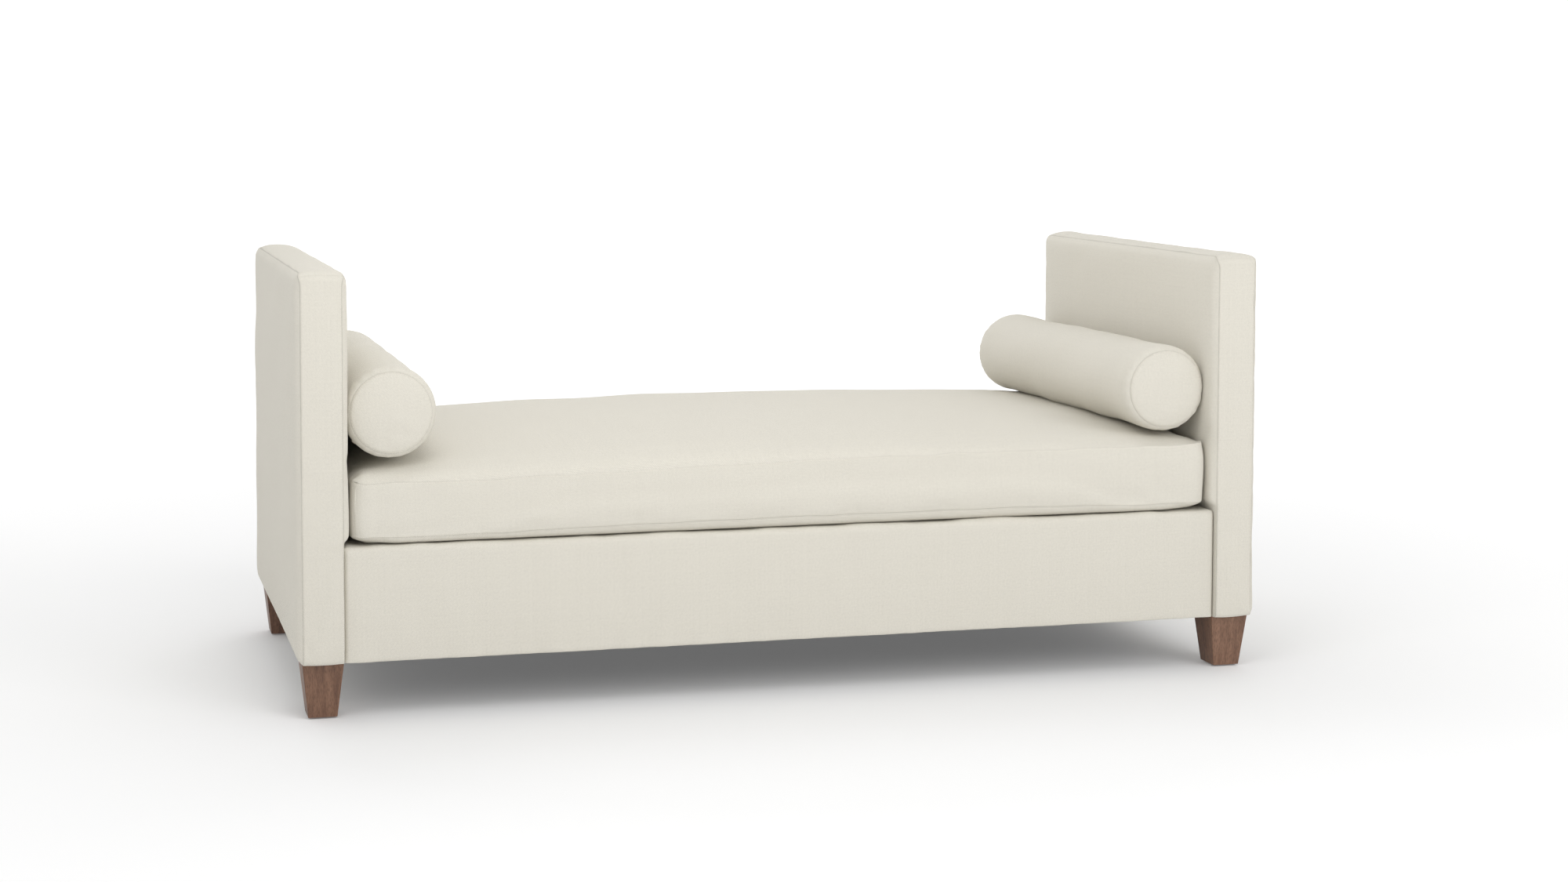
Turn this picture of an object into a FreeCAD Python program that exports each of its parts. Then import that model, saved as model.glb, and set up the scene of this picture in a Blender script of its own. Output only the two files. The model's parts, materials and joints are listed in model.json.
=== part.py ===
"""Upholstered daybed: two padded arms bolted to a sprung base, with a loose seat cushion and two bolsters.

Millimetres. +X runs along the length, -Y is the front, +Z is up, and the origin is on the floor under the
middle. Every right-hand (+X) piece is built first and mirrored for the left.
"""

import FreeCAD, Part
import math
import os

V = FreeCAD.Vector
X_AXIS, Y_AXIS, Z_AXIS = V(1, 0, 0), V(0, 1, 0), V(0, 0, 1)

# ---- Overall sizes
seam_length = 2030.0  # between the outer edge seams of the two arms
depth = 872.0  # arms, front to back
arm_height = 886.0  # floor to the flat top of an arm
arm_border = 83.0  # width of the border strip that edges an arm, seam to seam
deck_height = 342.0  # floor to the top of the base

# ---- Legs and their fixings
leg_height = 110.0
leg_top_width = 83.0
leg_foot_width = 58.0
leg_setback = 17.0  # top of a leg behind the front of its arm
leg_edge_radius = 1.5
glide_thickness = 3.0
glide_radius = 13.0
glide_nail_radius = 1.5
glide_nail_length = 16.0
hanger_bolt_radius = 4.0
hanger_bolt_in_leg = 40.0
hanger_bolt_in_block = 38.0
insert_radius = 6.5
insert_length = 25.0

# ---- Upholstery layers
cover_thickness = 2.0
soft_gap = 0.3  # between layers, and between loose pieces that rest on each other
outer_crown = 12.0  # how far an arm's outer face swells past its seams
inner_crown = 12.0  # how far its inner face swells above the deck
seam_step = 1.0  # the inner swell starts this far inside the border's edge
crown_ease = 0.5  # flat left beside a swell's rounding
arm_corner_radius = 22.0
arm_foot_radius = 6.0
edge_padding = 10.0  # foam over the arm frame's edges

# ---- Arm frame
frame_thickness = 60.0
panel_thickness = 3.0
post_depth = 50.0
top_rail_height = 45.0
leg_block_depth = 96.0
leg_block_height = 60.0
bottom_rail_height = 50.0
seat_rail_height = 130.0
seat_rail_drop = 12.0  # top of the seat rail below the deck

# ---- Base
base_recess = 10.0  # front of the base behind the front of the arms
base_padding = 8.0
base_edge_radius = 12.0
base_top_lip = 60.0  # face fabric carried over the top edge
base_bottom_lip = 24.0
base_rail_thickness = 28.0
base_rail_drop = 15.0  # top of the rails below the deck surface
end_rail_thickness = 25.0
cross_rail_width = 25.0
cross_rail_height = 60.0
cross_rail_count = 3
corner_block_leg = 60.0
corner_block_height = 120.0
deck_pad_thickness = 5.7
deck_cloth_thickness = 1.7
dust_cover_thickness = 1.0

# ---- Springs
spring_count = 12
spring_wire_radius = 1.9
spring_bar_half = 14.0  # half of a straight bar, between two bends
spring_half_pitch = 38.0
spring_edge_distance = 7.0  # end bar from the inner face of a rail
spring_end_margin = 76.0  # first spring's centre from the end rail
clip_thickness = 1.2
clip_width = 16.0
clip_plate_depth = 12.0
tie_wire_radius = 1.3
tie_wire_spread = 130.0  # each tie wire from the middle

# ---- Bolts that hold the arms to the base
arm_bolt_radius = 4.0
arm_bolt_head_radius = 7.5
arm_bolt_head_height = 5.5
arm_bolt_spread = 250.0  # either side of the middle
arm_bolt_rows = (-32.0, 32.0)  # heights about the seat rail's middle
washer_radius = 12.0
washer_thickness = 2.0
tee_nut_flange_radius = 11.0
tee_nut_flange_thickness = 1.5
tee_nut_barrel_radius = 5.5
tee_nut_barrel_length = 12.0
bolt_clearance = 0.5
thread_clearance = 0.05
seat_clearance = 0.3  # round a flange, head or nut in its recess

# ---- Seat cushion
cushion_end_gap = 3.0
cushion_overhang = 2.0  # front of the cushion past the front of the base
cushion_crown_top = 533.0
cushion_crown_radius_x = 14300.0
cushion_crown_radius_y = 3400.0
cushion_shoulder_radius = 45.0
cushion_foot_radius = 22.0
foam_margin = 24.0  # fibre wrap round the foam block
foam_thickness = 125.0

# ---- Bolsters
bolster_radius = 91.0
bolster_length = 796.0
bolster_end_radius = 12.0
bolster_arm_gap = 0.5
bolster_zip_angle = -45.0  # towards the corner between arm and cushion

# ---- Zips
zip_tape_width = 24.0
cushion_zip_length = 1500.0
bolster_zip_width = 12.0
bolster_zip_length = 620.0
zip_coil_width = 6.0
zip_coil_height = 1.0
zip_coil_end = 4.0
slider_length = 12.0
slider_width = 9.0
slider_height = 4.0
pull_length = 26.0
pull_width = 7.0
pull_thickness = 1.6

# ---- Places worked out from the sizes above
half_depth = depth / 2
arm_bottom = glide_thickness + leg_height
outer_seam_x = seam_length / 2
inner_seam_x = outer_seam_x - arm_border
arm_outer_x = outer_seam_x + outer_crown
arm_inner_x = inner_seam_x - inner_crown
lining = cover_thickness + soft_gap
frame_bottom = arm_bottom + lining
frame_top = arm_height - lining - edge_padding
frame_half_depth = half_depth - lining - edge_padding
frame_inner_x = inner_seam_x + (arm_border - frame_thickness) / 2
frame_outer_x = frame_inner_x + frame_thickness
seat_rail_top = deck_height - seat_rail_drop
seat_rail_middle = seat_rail_top - seat_rail_height / 2
leg_x = outer_seam_x - leg_top_width / 2
leg_y = half_depth - leg_setback - leg_top_width / 2
base_half_length = inner_seam_x - soft_gap
base_front = half_depth - base_recess
base_rail_outer = base_front - lining - base_padding
base_rail_inner = base_rail_outer - base_rail_thickness
base_rail_top = deck_height - base_rail_drop
end_rail_inner = base_half_length - end_rail_thickness
spring_z = base_rail_top + clip_thickness + soft_gap / 3 + spring_wire_radius
spring_end_y = base_rail_inner + spring_edge_distance
cushion_bottom = deck_height + soft_gap
cushion_half_length = arm_inner_x - cushion_end_gap
cushion_half_depth = base_front + cushion_overhang
cushion_zip_z = (cushion_bottom + cushion_crown_top - cushion_shoulder_radius) / 2 - zip_tape_width / 2
bolster_x = arm_inner_x - bolster_radius - bolster_arm_gap
bolster_z = (
    cushion_crown_top
    - cushion_crown_radius_x
    + math.sqrt((cushion_crown_radius_x + bolster_radius + soft_gap) ** 2 - bolster_x**2)
)


# ---- Small tools
def box(x, y, z):
    """A block between the two values given for each axis."""
    return Part.makeBox(x[1] - x[0], y[1] - y[0], z[1] - z[0], V(x[0], y[0], z[0]))


def rod(radius, length, start, direction):
    return Part.makeCylinder(radius, length, start, direction)


def mirrored(shape, normal=X_AXIS):
    return shape.mirror(V(0, 0, 0), normal)


def front_and_back(shape):
    """A piece built at the front (-Y), with its twin at the back."""
    return [shape, mirrored(shape, Y_AXIS)]


def both_ends(shapes):
    return shapes + [mirrored(s) for s in shapes]


def edges_on(shape, where):
    """The edges whose every vertex and middle satisfy where(point)."""
    found = []
    for edge in shape.Edges:
        middle = edge.valueAt((edge.FirstParameter + edge.LastParameter) / 2)
        if all(where(p) for p in [v.Point for v in edge.Vertexes] + [middle]):
            found.append(edge)
    return found


def near(a, b):
    return abs(a - b) < 0.01


def save(name, shapes):
    """Writes one node; a list becomes a group of separate solids."""
    solids = shapes if isinstance(shapes, list) else [shapes]
    whole = solids[0] if len(solids) == 1 else Part.makeCompound(solids)
    if not all(s.isValid() for s in solids):
        print("not valid:", name)
    whole.exportStep(os.path.join("parts", name + ".step"))


def save_pair(name, shapes):
    """Writes a right-hand node and its mirrored left-hand twin."""
    solids = shapes if isinstance(shapes, list) else [shapes]
    save("right_" + name, solids)
    save("left_" + name, [mirrored(s) for s in solids])


# ---- Arms
def arm_form(inset):
    """The outer form of the right arm with every face moved in by inset."""
    outer, foot = arm_outer_x - inset, arm_bottom + inset
    top, side = arm_height - inset, half_depth - inset
    slab = box((inner_seam_x + inset, outer), (-side, side), (foot, top))
    for height, radius in ((top, arm_corner_radius), (foot, arm_foot_radius)):
        corners = edges_on(slab, lambda p: near(p.z, height) and near(abs(p.y), side))
        slab = slab.makeFillet(radius - inset, corners)
    rim = edges_on(slab, lambda p: near(p.x, outer))
    slab = slab.makeFillet(outer_crown - inset, [e for e in rim if not is_foot(e, foot + arm_foot_radius)])
    return slab.fuse(arm_swell(inset)).removeSplitter()


def is_foot(edge, height):
    """True for an edge at the foot of an arm, which stays square."""
    return max(v.Z for v in edge.Vertexes) < height


def arm_swell(inset):
    """The padded inner face above the deck, rounded down to the border's seam all round."""
    inner, side = arm_inner_x + inset, half_depth - seam_step - inset
    top, foot = arm_height - seam_step - inset, deck_height + seam_step + inset
    swell = box((inner, inner_seam_x + inner_crown), (-side, side), (foot, top))
    corners = edges_on(swell, lambda p: near(p.z, top) and near(abs(p.y), side))
    swell = swell.makeFillet(arm_corner_radius - inset, corners)
    rim = edges_on(swell, lambda p: near(p.x, inner))
    return swell.makeFillet(inner_crown - crown_ease - inset, rim)


def arm_frame_envelope():
    """The space taken by the timber and its two panels, open below."""
    return box(
        (frame_inner_x - panel_thickness, frame_outer_x + panel_thickness),
        (-frame_half_depth, frame_half_depth),
        (0, frame_top),
    )


def arm_bolt_places():
    columns = (-arm_bolt_spread, arm_bolt_spread)
    return [(y, seat_rail_middle + row) for y in columns for row in arm_bolt_rows]


def arm_bolt_holes(radius):
    """Holes along X for the four arm bolts."""
    reach = arm_outer_x - end_rail_inner
    start = end_rail_inner - washer_thickness
    return Part.makeCompound([rod(radius, reach, V(start, y, z), X_AXIS) for y, z in arm_bolt_places()])


def hanger_bolt_holes(radius, bottom, length):
    return Part.makeCompound([rod(radius, length, V(leg_x, y, bottom), Z_AXIS) for y in (-leg_y, leg_y)])


def arm_timber(y, z):
    return box((frame_inner_x, frame_outer_x), y, z)


def make_arm_frame():
    block_top = frame_bottom + leg_block_height
    block_inner = frame_half_depth - leg_block_depth
    post_inner = frame_half_depth - post_depth
    post_top = frame_top - top_rail_height

    post = arm_timber((-frame_half_depth, -post_inner), (block_top, post_top))
    save_pair("arm_front_post", post)
    save_pair("arm_rear_post", mirrored(post, Y_AXIS))
    save_pair("arm_top_rail", arm_timber((-frame_half_depth, frame_half_depth), (post_top, frame_top)))

    rail_bottom = frame_bottom + bottom_rail_height
    save_pair("arm_bottom_rail", arm_timber((-block_inner, block_inner), (frame_bottom, rail_bottom)))

    seat_rail = arm_timber((-post_inner, post_inner), (seat_rail_top - seat_rail_height, seat_rail_top))
    seat_rail = seat_rail.cut(arm_bolt_holes(tee_nut_barrel_radius + thread_clearance))
    recess_radius = tee_nut_flange_radius + seat_clearance
    recess_depth = tee_nut_flange_thickness + seat_clearance
    for y, z in arm_bolt_places():
        recess_start = V(frame_outer_x - recess_depth, y, z)
        seat_rail = seat_rail.cut(rod(recess_radius, recess_depth, recess_start, X_AXIS))
    save_pair("arm_seat_rail", seat_rail)

    block = arm_timber((-frame_half_depth, -block_inner), (frame_bottom, block_top))
    insert_hole = hanger_bolt_holes(insert_radius + thread_clearance, frame_bottom, insert_length)
    bolt_hole = hanger_bolt_holes(hanger_bolt_radius + bolt_clearance, frame_bottom, hanger_bolt_in_block)
    save_pair("arm_leg_blocks", front_and_back(block.cut(insert_hole).cut(bolt_hole)))


def make_arm_panels():
    across, up = (-frame_half_depth, frame_half_depth), (frame_bottom, frame_top)
    inner = box((frame_inner_x - panel_thickness, frame_inner_x), across, up)
    save_pair("arm_inner_panel", inner.cut(arm_bolt_holes(arm_bolt_radius + bolt_clearance)))
    save_pair("arm_outer_panel", box((frame_outer_x, frame_outer_x + panel_thickness), across, up))


def make_arm_upholstery():
    inner_holes = arm_bolt_holes(arm_bolt_radius + bolt_clearance)
    inner_side = box((0, frame_inner_x), (-half_depth, half_depth), (0, arm_height))
    bolt_way = inner_holes.common(inner_side)

    padding = arm_form(lining).cut(arm_frame_envelope()).cut(bolt_way)
    save_pair("arm_padding", padding)

    leg_way = hanger_bolt_holes(insert_radius + bolt_clearance, arm_bottom - 1, lining + 1)
    cover = arm_form(0).cut(arm_form(cover_thickness)).cut(bolt_way).cut(leg_way)
    save_pair("arm_cover", cover)


# ---- Legs
def square_wire(width, z):
    h = width / 2
    corners = [V(leg_x + sx * h, -leg_y + sy * h, z) for sx, sy in ((-1, -1), (1, -1), (1, 1), (-1, 1))]
    return Part.makePolygon(corners + corners[:1])


def stays_at(edge, height):
    return all(near(v.Z, height) for v in edge.Vertexes)


def make_legs():
    foot, top = square_wire(leg_foot_width, glide_thickness), square_wire(leg_top_width, arm_bottom)
    leg = Part.makeLoft([foot, top], True)
    leg = leg.makeFillet(leg_edge_radius, [e for e in leg.Edges if not stays_at(e, arm_bottom)])
    bolt_start = V(leg_x, -leg_y, arm_bottom - hanger_bolt_in_leg)
    leg = leg.cut(rod(hanger_bolt_radius + thread_clearance, hanger_bolt_in_leg, bolt_start, Z_AXIS))
    nail_start = V(leg_x, -leg_y, glide_thickness)
    leg = leg.cut(rod(glide_nail_radius + thread_clearance, glide_nail_length, nail_start, Z_AXIS))
    front, rear = front_and_back(leg)
    save("front_right_leg", front)
    save("rear_right_leg", rear)
    save("front_left_leg", mirrored(front))
    save("rear_left_leg", mirrored(rear))


def make_leg_hardware():
    glide = rod(glide_radius, glide_thickness, V(leg_x, -leg_y, 0), Z_AXIS)
    glide = glide.makeFillet(glide_thickness / 3, edges_on(glide, lambda p: near(p.z, 0)))
    nail = rod(glide_nail_radius, glide_nail_length, V(leg_x, -leg_y, glide_thickness / 2), Z_AXIS)
    save("leg_glides", both_ends(front_and_back(glide.fuse(nail))))

    bolt_start = V(leg_x, -leg_y, arm_bottom - hanger_bolt_in_leg)
    bolt = rod(hanger_bolt_radius, hanger_bolt_in_leg + hanger_bolt_in_block, bolt_start, Z_AXIS)
    save("leg_hanger_bolts", both_ends(front_and_back(bolt)))

    insert_start = V(leg_x, -leg_y, frame_bottom)
    insert = rod(insert_radius, insert_length, insert_start, Z_AXIS)
    insert = insert.cut(rod(hanger_bolt_radius + thread_clearance, insert_length, insert_start, Z_AXIS))
    save("leg_threaded_inserts", both_ends(front_and_back(insert)))


# ---- Bolts between arms and base
def make_arm_bolts():
    washer_x = end_rail_inner - washer_thickness
    nut_x = frame_outer_x - tee_nut_flange_thickness - seat_clearance / 2
    bolts, washers, nuts = [], [], []
    for y, z in arm_bolt_places():
        shank = rod(arm_bolt_radius, nut_x - washer_x, V(washer_x, y, z), X_AXIS)
        head = hexagon(arm_bolt_head_radius, arm_bolt_head_height, V(washer_x - arm_bolt_head_height, y, z))
        bolts.append(shank.fuse(head))

        washer = rod(washer_radius, washer_thickness, V(washer_x, y, z), X_AXIS)
        hole = rod(arm_bolt_radius + bolt_clearance, washer_thickness, V(washer_x, y, z), X_AXIS)
        washers.append(washer.cut(hole))

        barrel_start = V(nut_x - tee_nut_barrel_length, y, z)
        barrel = rod(tee_nut_barrel_radius, tee_nut_barrel_length, barrel_start, X_AXIS)
        flange = rod(tee_nut_flange_radius, tee_nut_flange_thickness, V(nut_x, y, z), X_AXIS)
        bore_length = tee_nut_barrel_length + tee_nut_flange_thickness
        bore = rod(arm_bolt_radius + thread_clearance, bore_length, barrel_start, X_AXIS)
        nuts.append(flange.fuse(barrel).cut(bore))
    save("arm_bolts", both_ends(bolts))
    save("arm_bolt_washers", both_ends(washers))
    save("arm_tee_nuts", both_ends(nuts))


def hexagon(radius, height, start):
    """A hexagonal head standing along +X from start."""
    corners = [
        start + V(0, radius * math.cos(math.radians(60 * k)), radius * math.sin(math.radians(60 * k)))
        for k in range(6)
    ]
    return Part.Face(Part.makePolygon(corners + corners[:1])).extrude(V(height, 0, 0))


# ---- Base
def base_skin_section(inset, top_lip, bottom_lip):
    """A block along the front of the base whose top and bottom front edges are rounded."""
    front, top, bottom = base_front - inset, deck_height - inset, arm_bottom + inset
    block = box((-base_half_length, base_half_length), (-front, -(base_front - top_lip)), (bottom, top))
    rim = edges_on(block, lambda p: near(p.y, -front) and near(p.z, top))
    return block.makeFillet(base_edge_radius - inset, rim)


def make_base_upholstery():
    lip_y, under_y = base_front - base_top_lip, base_front - base_bottom_lip
    outer = base_skin_section(0, base_top_lip, base_bottom_lip)
    inner = base_skin_section(cover_thickness, base_top_lip + cover_thickness, base_bottom_lip)
    whole_length = (-base_half_length, base_half_length)
    under_gap = box(whole_length, (-under_y, -lip_y), (arm_bottom - 1, arm_bottom + cover_thickness))
    cover = outer.cut(inner).cut(under_gap)
    save("base_front_cover", cover)
    save("base_rear_cover", mirrored(cover, Y_AXIS))

    pad_block = base_skin_section(lining, base_top_lip, base_bottom_lip)
    behind = box(whole_length, (-base_rail_outer, 0), (0, base_rail_top))
    past_border = box(whole_length, (-(base_rail_outer - base_padding), 0), (0, deck_height))
    padding = pad_block.cut(behind).cut(past_border)
    save("base_front_padding", padding)
    save("base_rear_padding", mirrored(padding, Y_AXIS))


def make_base_frame():
    whole_length, rail_up = (-base_half_length, base_half_length), (frame_bottom, base_rail_top)
    rail = box(whole_length, (-base_rail_outer, -base_rail_inner), rail_up)
    save("base_front_rail", rail)
    save("base_rear_rail", mirrored(rail, Y_AXIS))

    between_rails = (-base_rail_inner, base_rail_inner)
    end_rail = box((end_rail_inner, base_half_length), between_rails, rail_up)
    end_rail = end_rail.cut(arm_bolt_holes(arm_bolt_radius + bolt_clearance))
    save("base_right_end_rail", end_rail)
    save("base_left_end_rail", mirrored(end_rail))

    spacing = 2 * end_rail_inner / (cross_rail_count + 1)
    cross_rails = []
    for k in range(cross_rail_count):
        middle = -end_rail_inner + spacing * (k + 1)
        across = (middle - cross_rail_width / 2, middle + cross_rail_width / 2)
        cross_rails.append(box(across, between_rails, (frame_bottom, frame_bottom + cross_rail_height)))
    save("base_cross_rails", cross_rails)

    block_bottom = (frame_bottom + base_rail_top - corner_block_height) / 2
    corner = [
        V(end_rail_inner, -base_rail_inner, block_bottom),
        V(end_rail_inner - corner_block_leg, -base_rail_inner, block_bottom),
        V(end_rail_inner, -base_rail_inner + corner_block_leg, block_bottom),
    ]
    block = Part.Face(Part.makePolygon(corner + corner[:1])).extrude(V(0, 0, corner_block_height))
    save("base_corner_blocks", both_ends(front_and_back(block)))


def make_deck():
    pad_top = deck_height - lining
    pad_edge = base_rail_outer - base_padding - soft_gap
    pad_up = (pad_top - deck_pad_thickness, pad_top)
    save("deck_pad", box((-end_rail_inner, end_rail_inner), (-pad_edge, pad_edge), pad_up))

    cloth_edge = base_front - base_top_lip - soft_gap
    cloth_top = pad_top + soft_gap / 2 + deck_cloth_thickness
    cloth_x = (-base_half_length, base_half_length)
    cloth_up = (cloth_top - deck_cloth_thickness, cloth_top)
    save("deck_cloth", box(cloth_x, (-cloth_edge, cloth_edge), cloth_up))

    dust_edge = base_front - base_bottom_lip - soft_gap
    dust_z = (frame_bottom - soft_gap - dust_cover_thickness, frame_bottom - soft_gap)
    save("dust_cover", box(cloth_x, (-dust_edge, dust_edge), dust_z))


# ---- Springs
def spring_path(x, bars, pitch):
    """Bars along X joined by half-round bends, from the front rail to the back."""
    edges = []
    for k in range(bars):
        y, side = -spring_end_y + k * pitch, 1 if k % 2 == 0 else -1
        start, end = V(x - side * spring_bar_half, y, spring_z), V(x + side * spring_bar_half, y, spring_z)
        edges.append(Part.makeLine(start, end))
        if k < bars - 1:
            beyond = V(end.x + side * pitch / 2, y + pitch / 2, spring_z)
            edges.append(Part.Arc(end, beyond, end + V(0, pitch, 0)).toShape())
    return Part.Wire(edges)


def eight_sided(radius, centre):
    """The points of a closed eight-sided section across X."""
    turns = [math.radians(45 * k + 22.5) for k in range(9)]
    return [centre + V(0, radius * math.cos(t), radius * math.sin(t)) for t in turns]


def make_springs():
    bars = int(round(2 * spring_end_y / spring_half_pitch)) + 1
    pitch = 2 * spring_end_y / (bars - 1)
    first = end_rail_inner - spring_end_margin
    places = [-first + 2 * first * k / (spring_count - 1) for k in range(spring_count)]

    springs = []
    for x in places:
        path = spring_path(x, bars, pitch)
        start = V(x - spring_bar_half, -spring_end_y, spring_z)
        section = Part.makePolygon(eight_sided(spring_wire_radius, start))
        springs.append(path.makePipeShell([section], True, False))
    save("seat_springs", springs)

    clips = []
    for x in places:
        clips += front_and_back(spring_clip(x))
    save("spring_clips", clips)

    tie_z = spring_z - spring_wire_radius - tie_wire_radius - soft_gap / 3
    ties = [
        rod(tie_wire_radius, 2 * end_rail_inner, V(-end_rail_inner, y, tie_z), X_AXIS)
        for y in (-tie_wire_spread, tie_wire_spread)
    ]
    save("spring_tie_wires", ties)


def spring_clip(x):
    """A folded clip on the front rail: a plate, and an eye round the spring's end bar."""
    eye_inner = spring_wire_radius + soft_gap / 3
    start = V(x - clip_width / 2, -spring_end_y, spring_z)
    eye = rod(eye_inner + clip_thickness, clip_width, start, X_AXIS)
    across = (x - clip_width / 2, x + clip_width / 2)
    plate_y = (-spring_end_y - clip_plate_depth, -spring_end_y)
    plate = box(across, plate_y, (base_rail_top, base_rail_top + clip_thickness))
    return eye.fuse(plate).cut(rod(eye_inner, clip_width, start, X_AXIS))


# ---- Seat cushion
def crowned_section(half_width, crown_radius, inset):
    """A closed wire in the XZ plane: flat foot, upright sides, rounded corners and a crown."""
    side, top, bottom = half_width - inset, cushion_crown_top - inset, cushion_bottom + inset
    crown, shoulder = crown_radius - inset, cushion_shoulder_radius - inset
    foot = cushion_foot_radius - inset
    crown_centre_z = top - crown
    shoulder_x = side - shoulder
    shoulder_z = crown_centre_z + math.sqrt((crown - shoulder) ** 2 - shoulder_x**2)
    lean = math.atan2(shoulder_x, shoulder_z - crown_centre_z)
    join = V(crown * math.sin(lean), 0, crown_centre_z + crown * math.cos(lean))
    bend = (math.pi / 2 + lean) / 2
    bulge = V(shoulder_x + shoulder * math.sin(bend), 0, shoulder_z + shoulder * math.cos(bend))
    corner = V(side - foot + foot * math.sin(math.pi / 4), 0, bottom + foot - foot * math.cos(math.pi / 4))

    def left(p):
        return V(-p.x, 0, p.z)

    low, high = V(side, 0, bottom + foot), V(side, 0, shoulder_z)
    heel = V(side - foot, 0, bottom)
    edges = [
        Part.makeLine(left(heel), heel),
        Part.Arc(heel, corner, low).toShape(),
        Part.makeLine(low, high),
        Part.Arc(high, bulge, join).toShape(),
        Part.Arc(join, V(0, 0, top), left(join)).toShape(),
        Part.Arc(left(join), left(bulge), left(high)).toShape(),
        Part.makeLine(left(high), left(low)),
        Part.Arc(left(low), left(corner), left(heel)).toShape(),
    ]
    return Part.Wire(edges)


def cushion_form(inset):
    """The cushion's outer form, crowned both ways, with every face moved in by inset."""
    along = crowned_section(cushion_half_length, cushion_crown_radius_x, inset)
    across = crowned_section(cushion_half_depth, cushion_crown_radius_y, inset)
    reach_y, reach_x = 2 * cushion_half_depth, 2 * cushion_half_length
    lengthwise = Part.Face(along).extrude(V(0, 2 * reach_y, 0))
    lengthwise.translate(V(0, -reach_y, 0))
    across.rotate(V(0, 0, 0), Z_AXIS, 90)
    crosswise = Part.Face(across).extrude(V(2 * reach_x, 0, 0))
    crosswise.translate(V(-reach_x, 0, 0))
    return lengthwise.common(crosswise)


def make_cushion():
    back = cushion_half_depth
    zip_x = (-cushion_zip_length / 2, cushion_zip_length / 2)
    zip_z = (cushion_zip_z - zip_tape_width / 2, cushion_zip_z + zip_tape_width / 2)
    tape = box(zip_x, (back - cover_thickness, back), zip_z)
    cover = cushion_form(0).cut(cushion_form(cover_thickness)).cut(tape)
    save("seat_cushion_cover", cover)

    coil_x = (zip_x[0] + zip_coil_end, zip_x[1] - zip_coil_end)
    coil_z = (cushion_zip_z - zip_coil_width / 2, cushion_zip_z + zip_coil_width / 2)
    coil = box(coil_x, (back - cover_thickness / 2, back + zip_coil_height), coil_z)
    save("seat_cushion_zip", tape.fuse(coil))

    slider_start = coil_x[0]
    slider_y = back + zip_coil_height + soft_gap
    body = box(
        (slider_start, slider_start + slider_length),
        (slider_y, slider_y + slider_height),
        (cushion_zip_z - slider_width / 2, cushion_zip_z + slider_width / 2),
    )
    body = body.makeFillet(1.2, edges_on(body, lambda p: near(p.y, slider_y + slider_height)))
    pull_x = slider_start + slider_length / 2
    pull_y = slider_y + slider_height / 2
    pull = box(
        (pull_x - pull_width / 2, pull_x + pull_width / 2),
        (pull_y, pull_y + pull_thickness),
        (cushion_zip_z - slider_width / 2 - pull_length, cushion_zip_z),
    )
    save("seat_cushion_zip_slider", body.fuse(pull))

    foam_top = cushion_bottom + foam_margin / 2 + foam_thickness
    foam = box(
        (-(cushion_half_length - foam_margin), cushion_half_length - foam_margin),
        (-(cushion_half_depth - foam_margin), cushion_half_depth - foam_margin),
        (cushion_bottom + foam_margin / 2, foam_top),
    )
    save("seat_cushion_foam", foam)
    save("seat_cushion_wrap", cushion_form(lining).cut(foam))


# ---- Bolsters
def bolster_form(inset):
    """A cylinder along Y about the origin with rounded ends, moved in by inset."""
    half = bolster_length / 2 - inset
    form = rod(bolster_radius - inset, 2 * half, V(0, -half, 0), Y_AXIS)
    return form.makeFillet(bolster_end_radius - inset, edges_on(form, lambda p: near(abs(p.y), half)))


def placed_bolster(shape):
    """Turns a piece so that its zip side faces the arm's corner, and puts it on the cushion."""
    turned = shape.copy()
    turned.rotate(V(0, 0, 0), Y_AXIS, -bolster_zip_angle)
    turned.translate(V(bolster_x, 0, bolster_z))
    return turned


def make_bolsters():
    half_zip, half_tape = bolster_zip_length / 2, bolster_zip_width / 2
    slot = box((bolster_radius / 2, 2 * bolster_radius), (-half_zip, half_zip), (-half_tape, half_tape))
    skin = bolster_form(0).cut(bolster_form(cover_thickness))
    save_pair("bolster_cover", placed_bolster(skin.cut(slot)))
    save_pair("bolster_fill", placed_bolster(bolster_form(lining)))

    coil_top = bolster_radius + zip_coil_height
    coil = box(
        (bolster_radius - cover_thickness / 2, coil_top),
        (-half_zip + zip_coil_end, half_zip - zip_coil_end),
        (-zip_coil_width / 2, zip_coil_width / 2),
    )
    save_pair("bolster_zip", placed_bolster(skin.common(slot).fuse(coil)))

    start = -half_zip + zip_coil_end
    body = box(
        (coil_top + soft_gap, coil_top + soft_gap + slider_height),
        (start, start + slider_length),
        (-slider_width / 2, slider_width / 2),
    )
    body = body.makeFillet(1.2, edges_on(body, lambda p: near(p.x, coil_top + soft_gap + slider_height)))
    pull_x = coil_top + soft_gap + slider_height / 2
    pull = box(
        (pull_x, pull_x + pull_thickness),
        (start + slider_length / 2, start + slider_length + pull_length),
        (-pull_width / 2, pull_width / 2),
    )
    save_pair("bolster_zip_slider", placed_bolster(body.fuse(pull)))


os.makedirs("parts", exist_ok=True)
make_legs()
make_leg_hardware()
make_arm_frame()
make_arm_panels()
make_arm_upholstery()
make_arm_bolts()
make_base_frame()
make_base_upholstery()
make_deck()
make_springs()
make_cushion()
make_bolsters()
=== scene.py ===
"""The looks of the daybed: sewn covers over padding, walnut legs, zips, and a pale studio."""

import bpy
import json
import math
import numpy as np
from mathutils import Matrix, Vector


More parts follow.
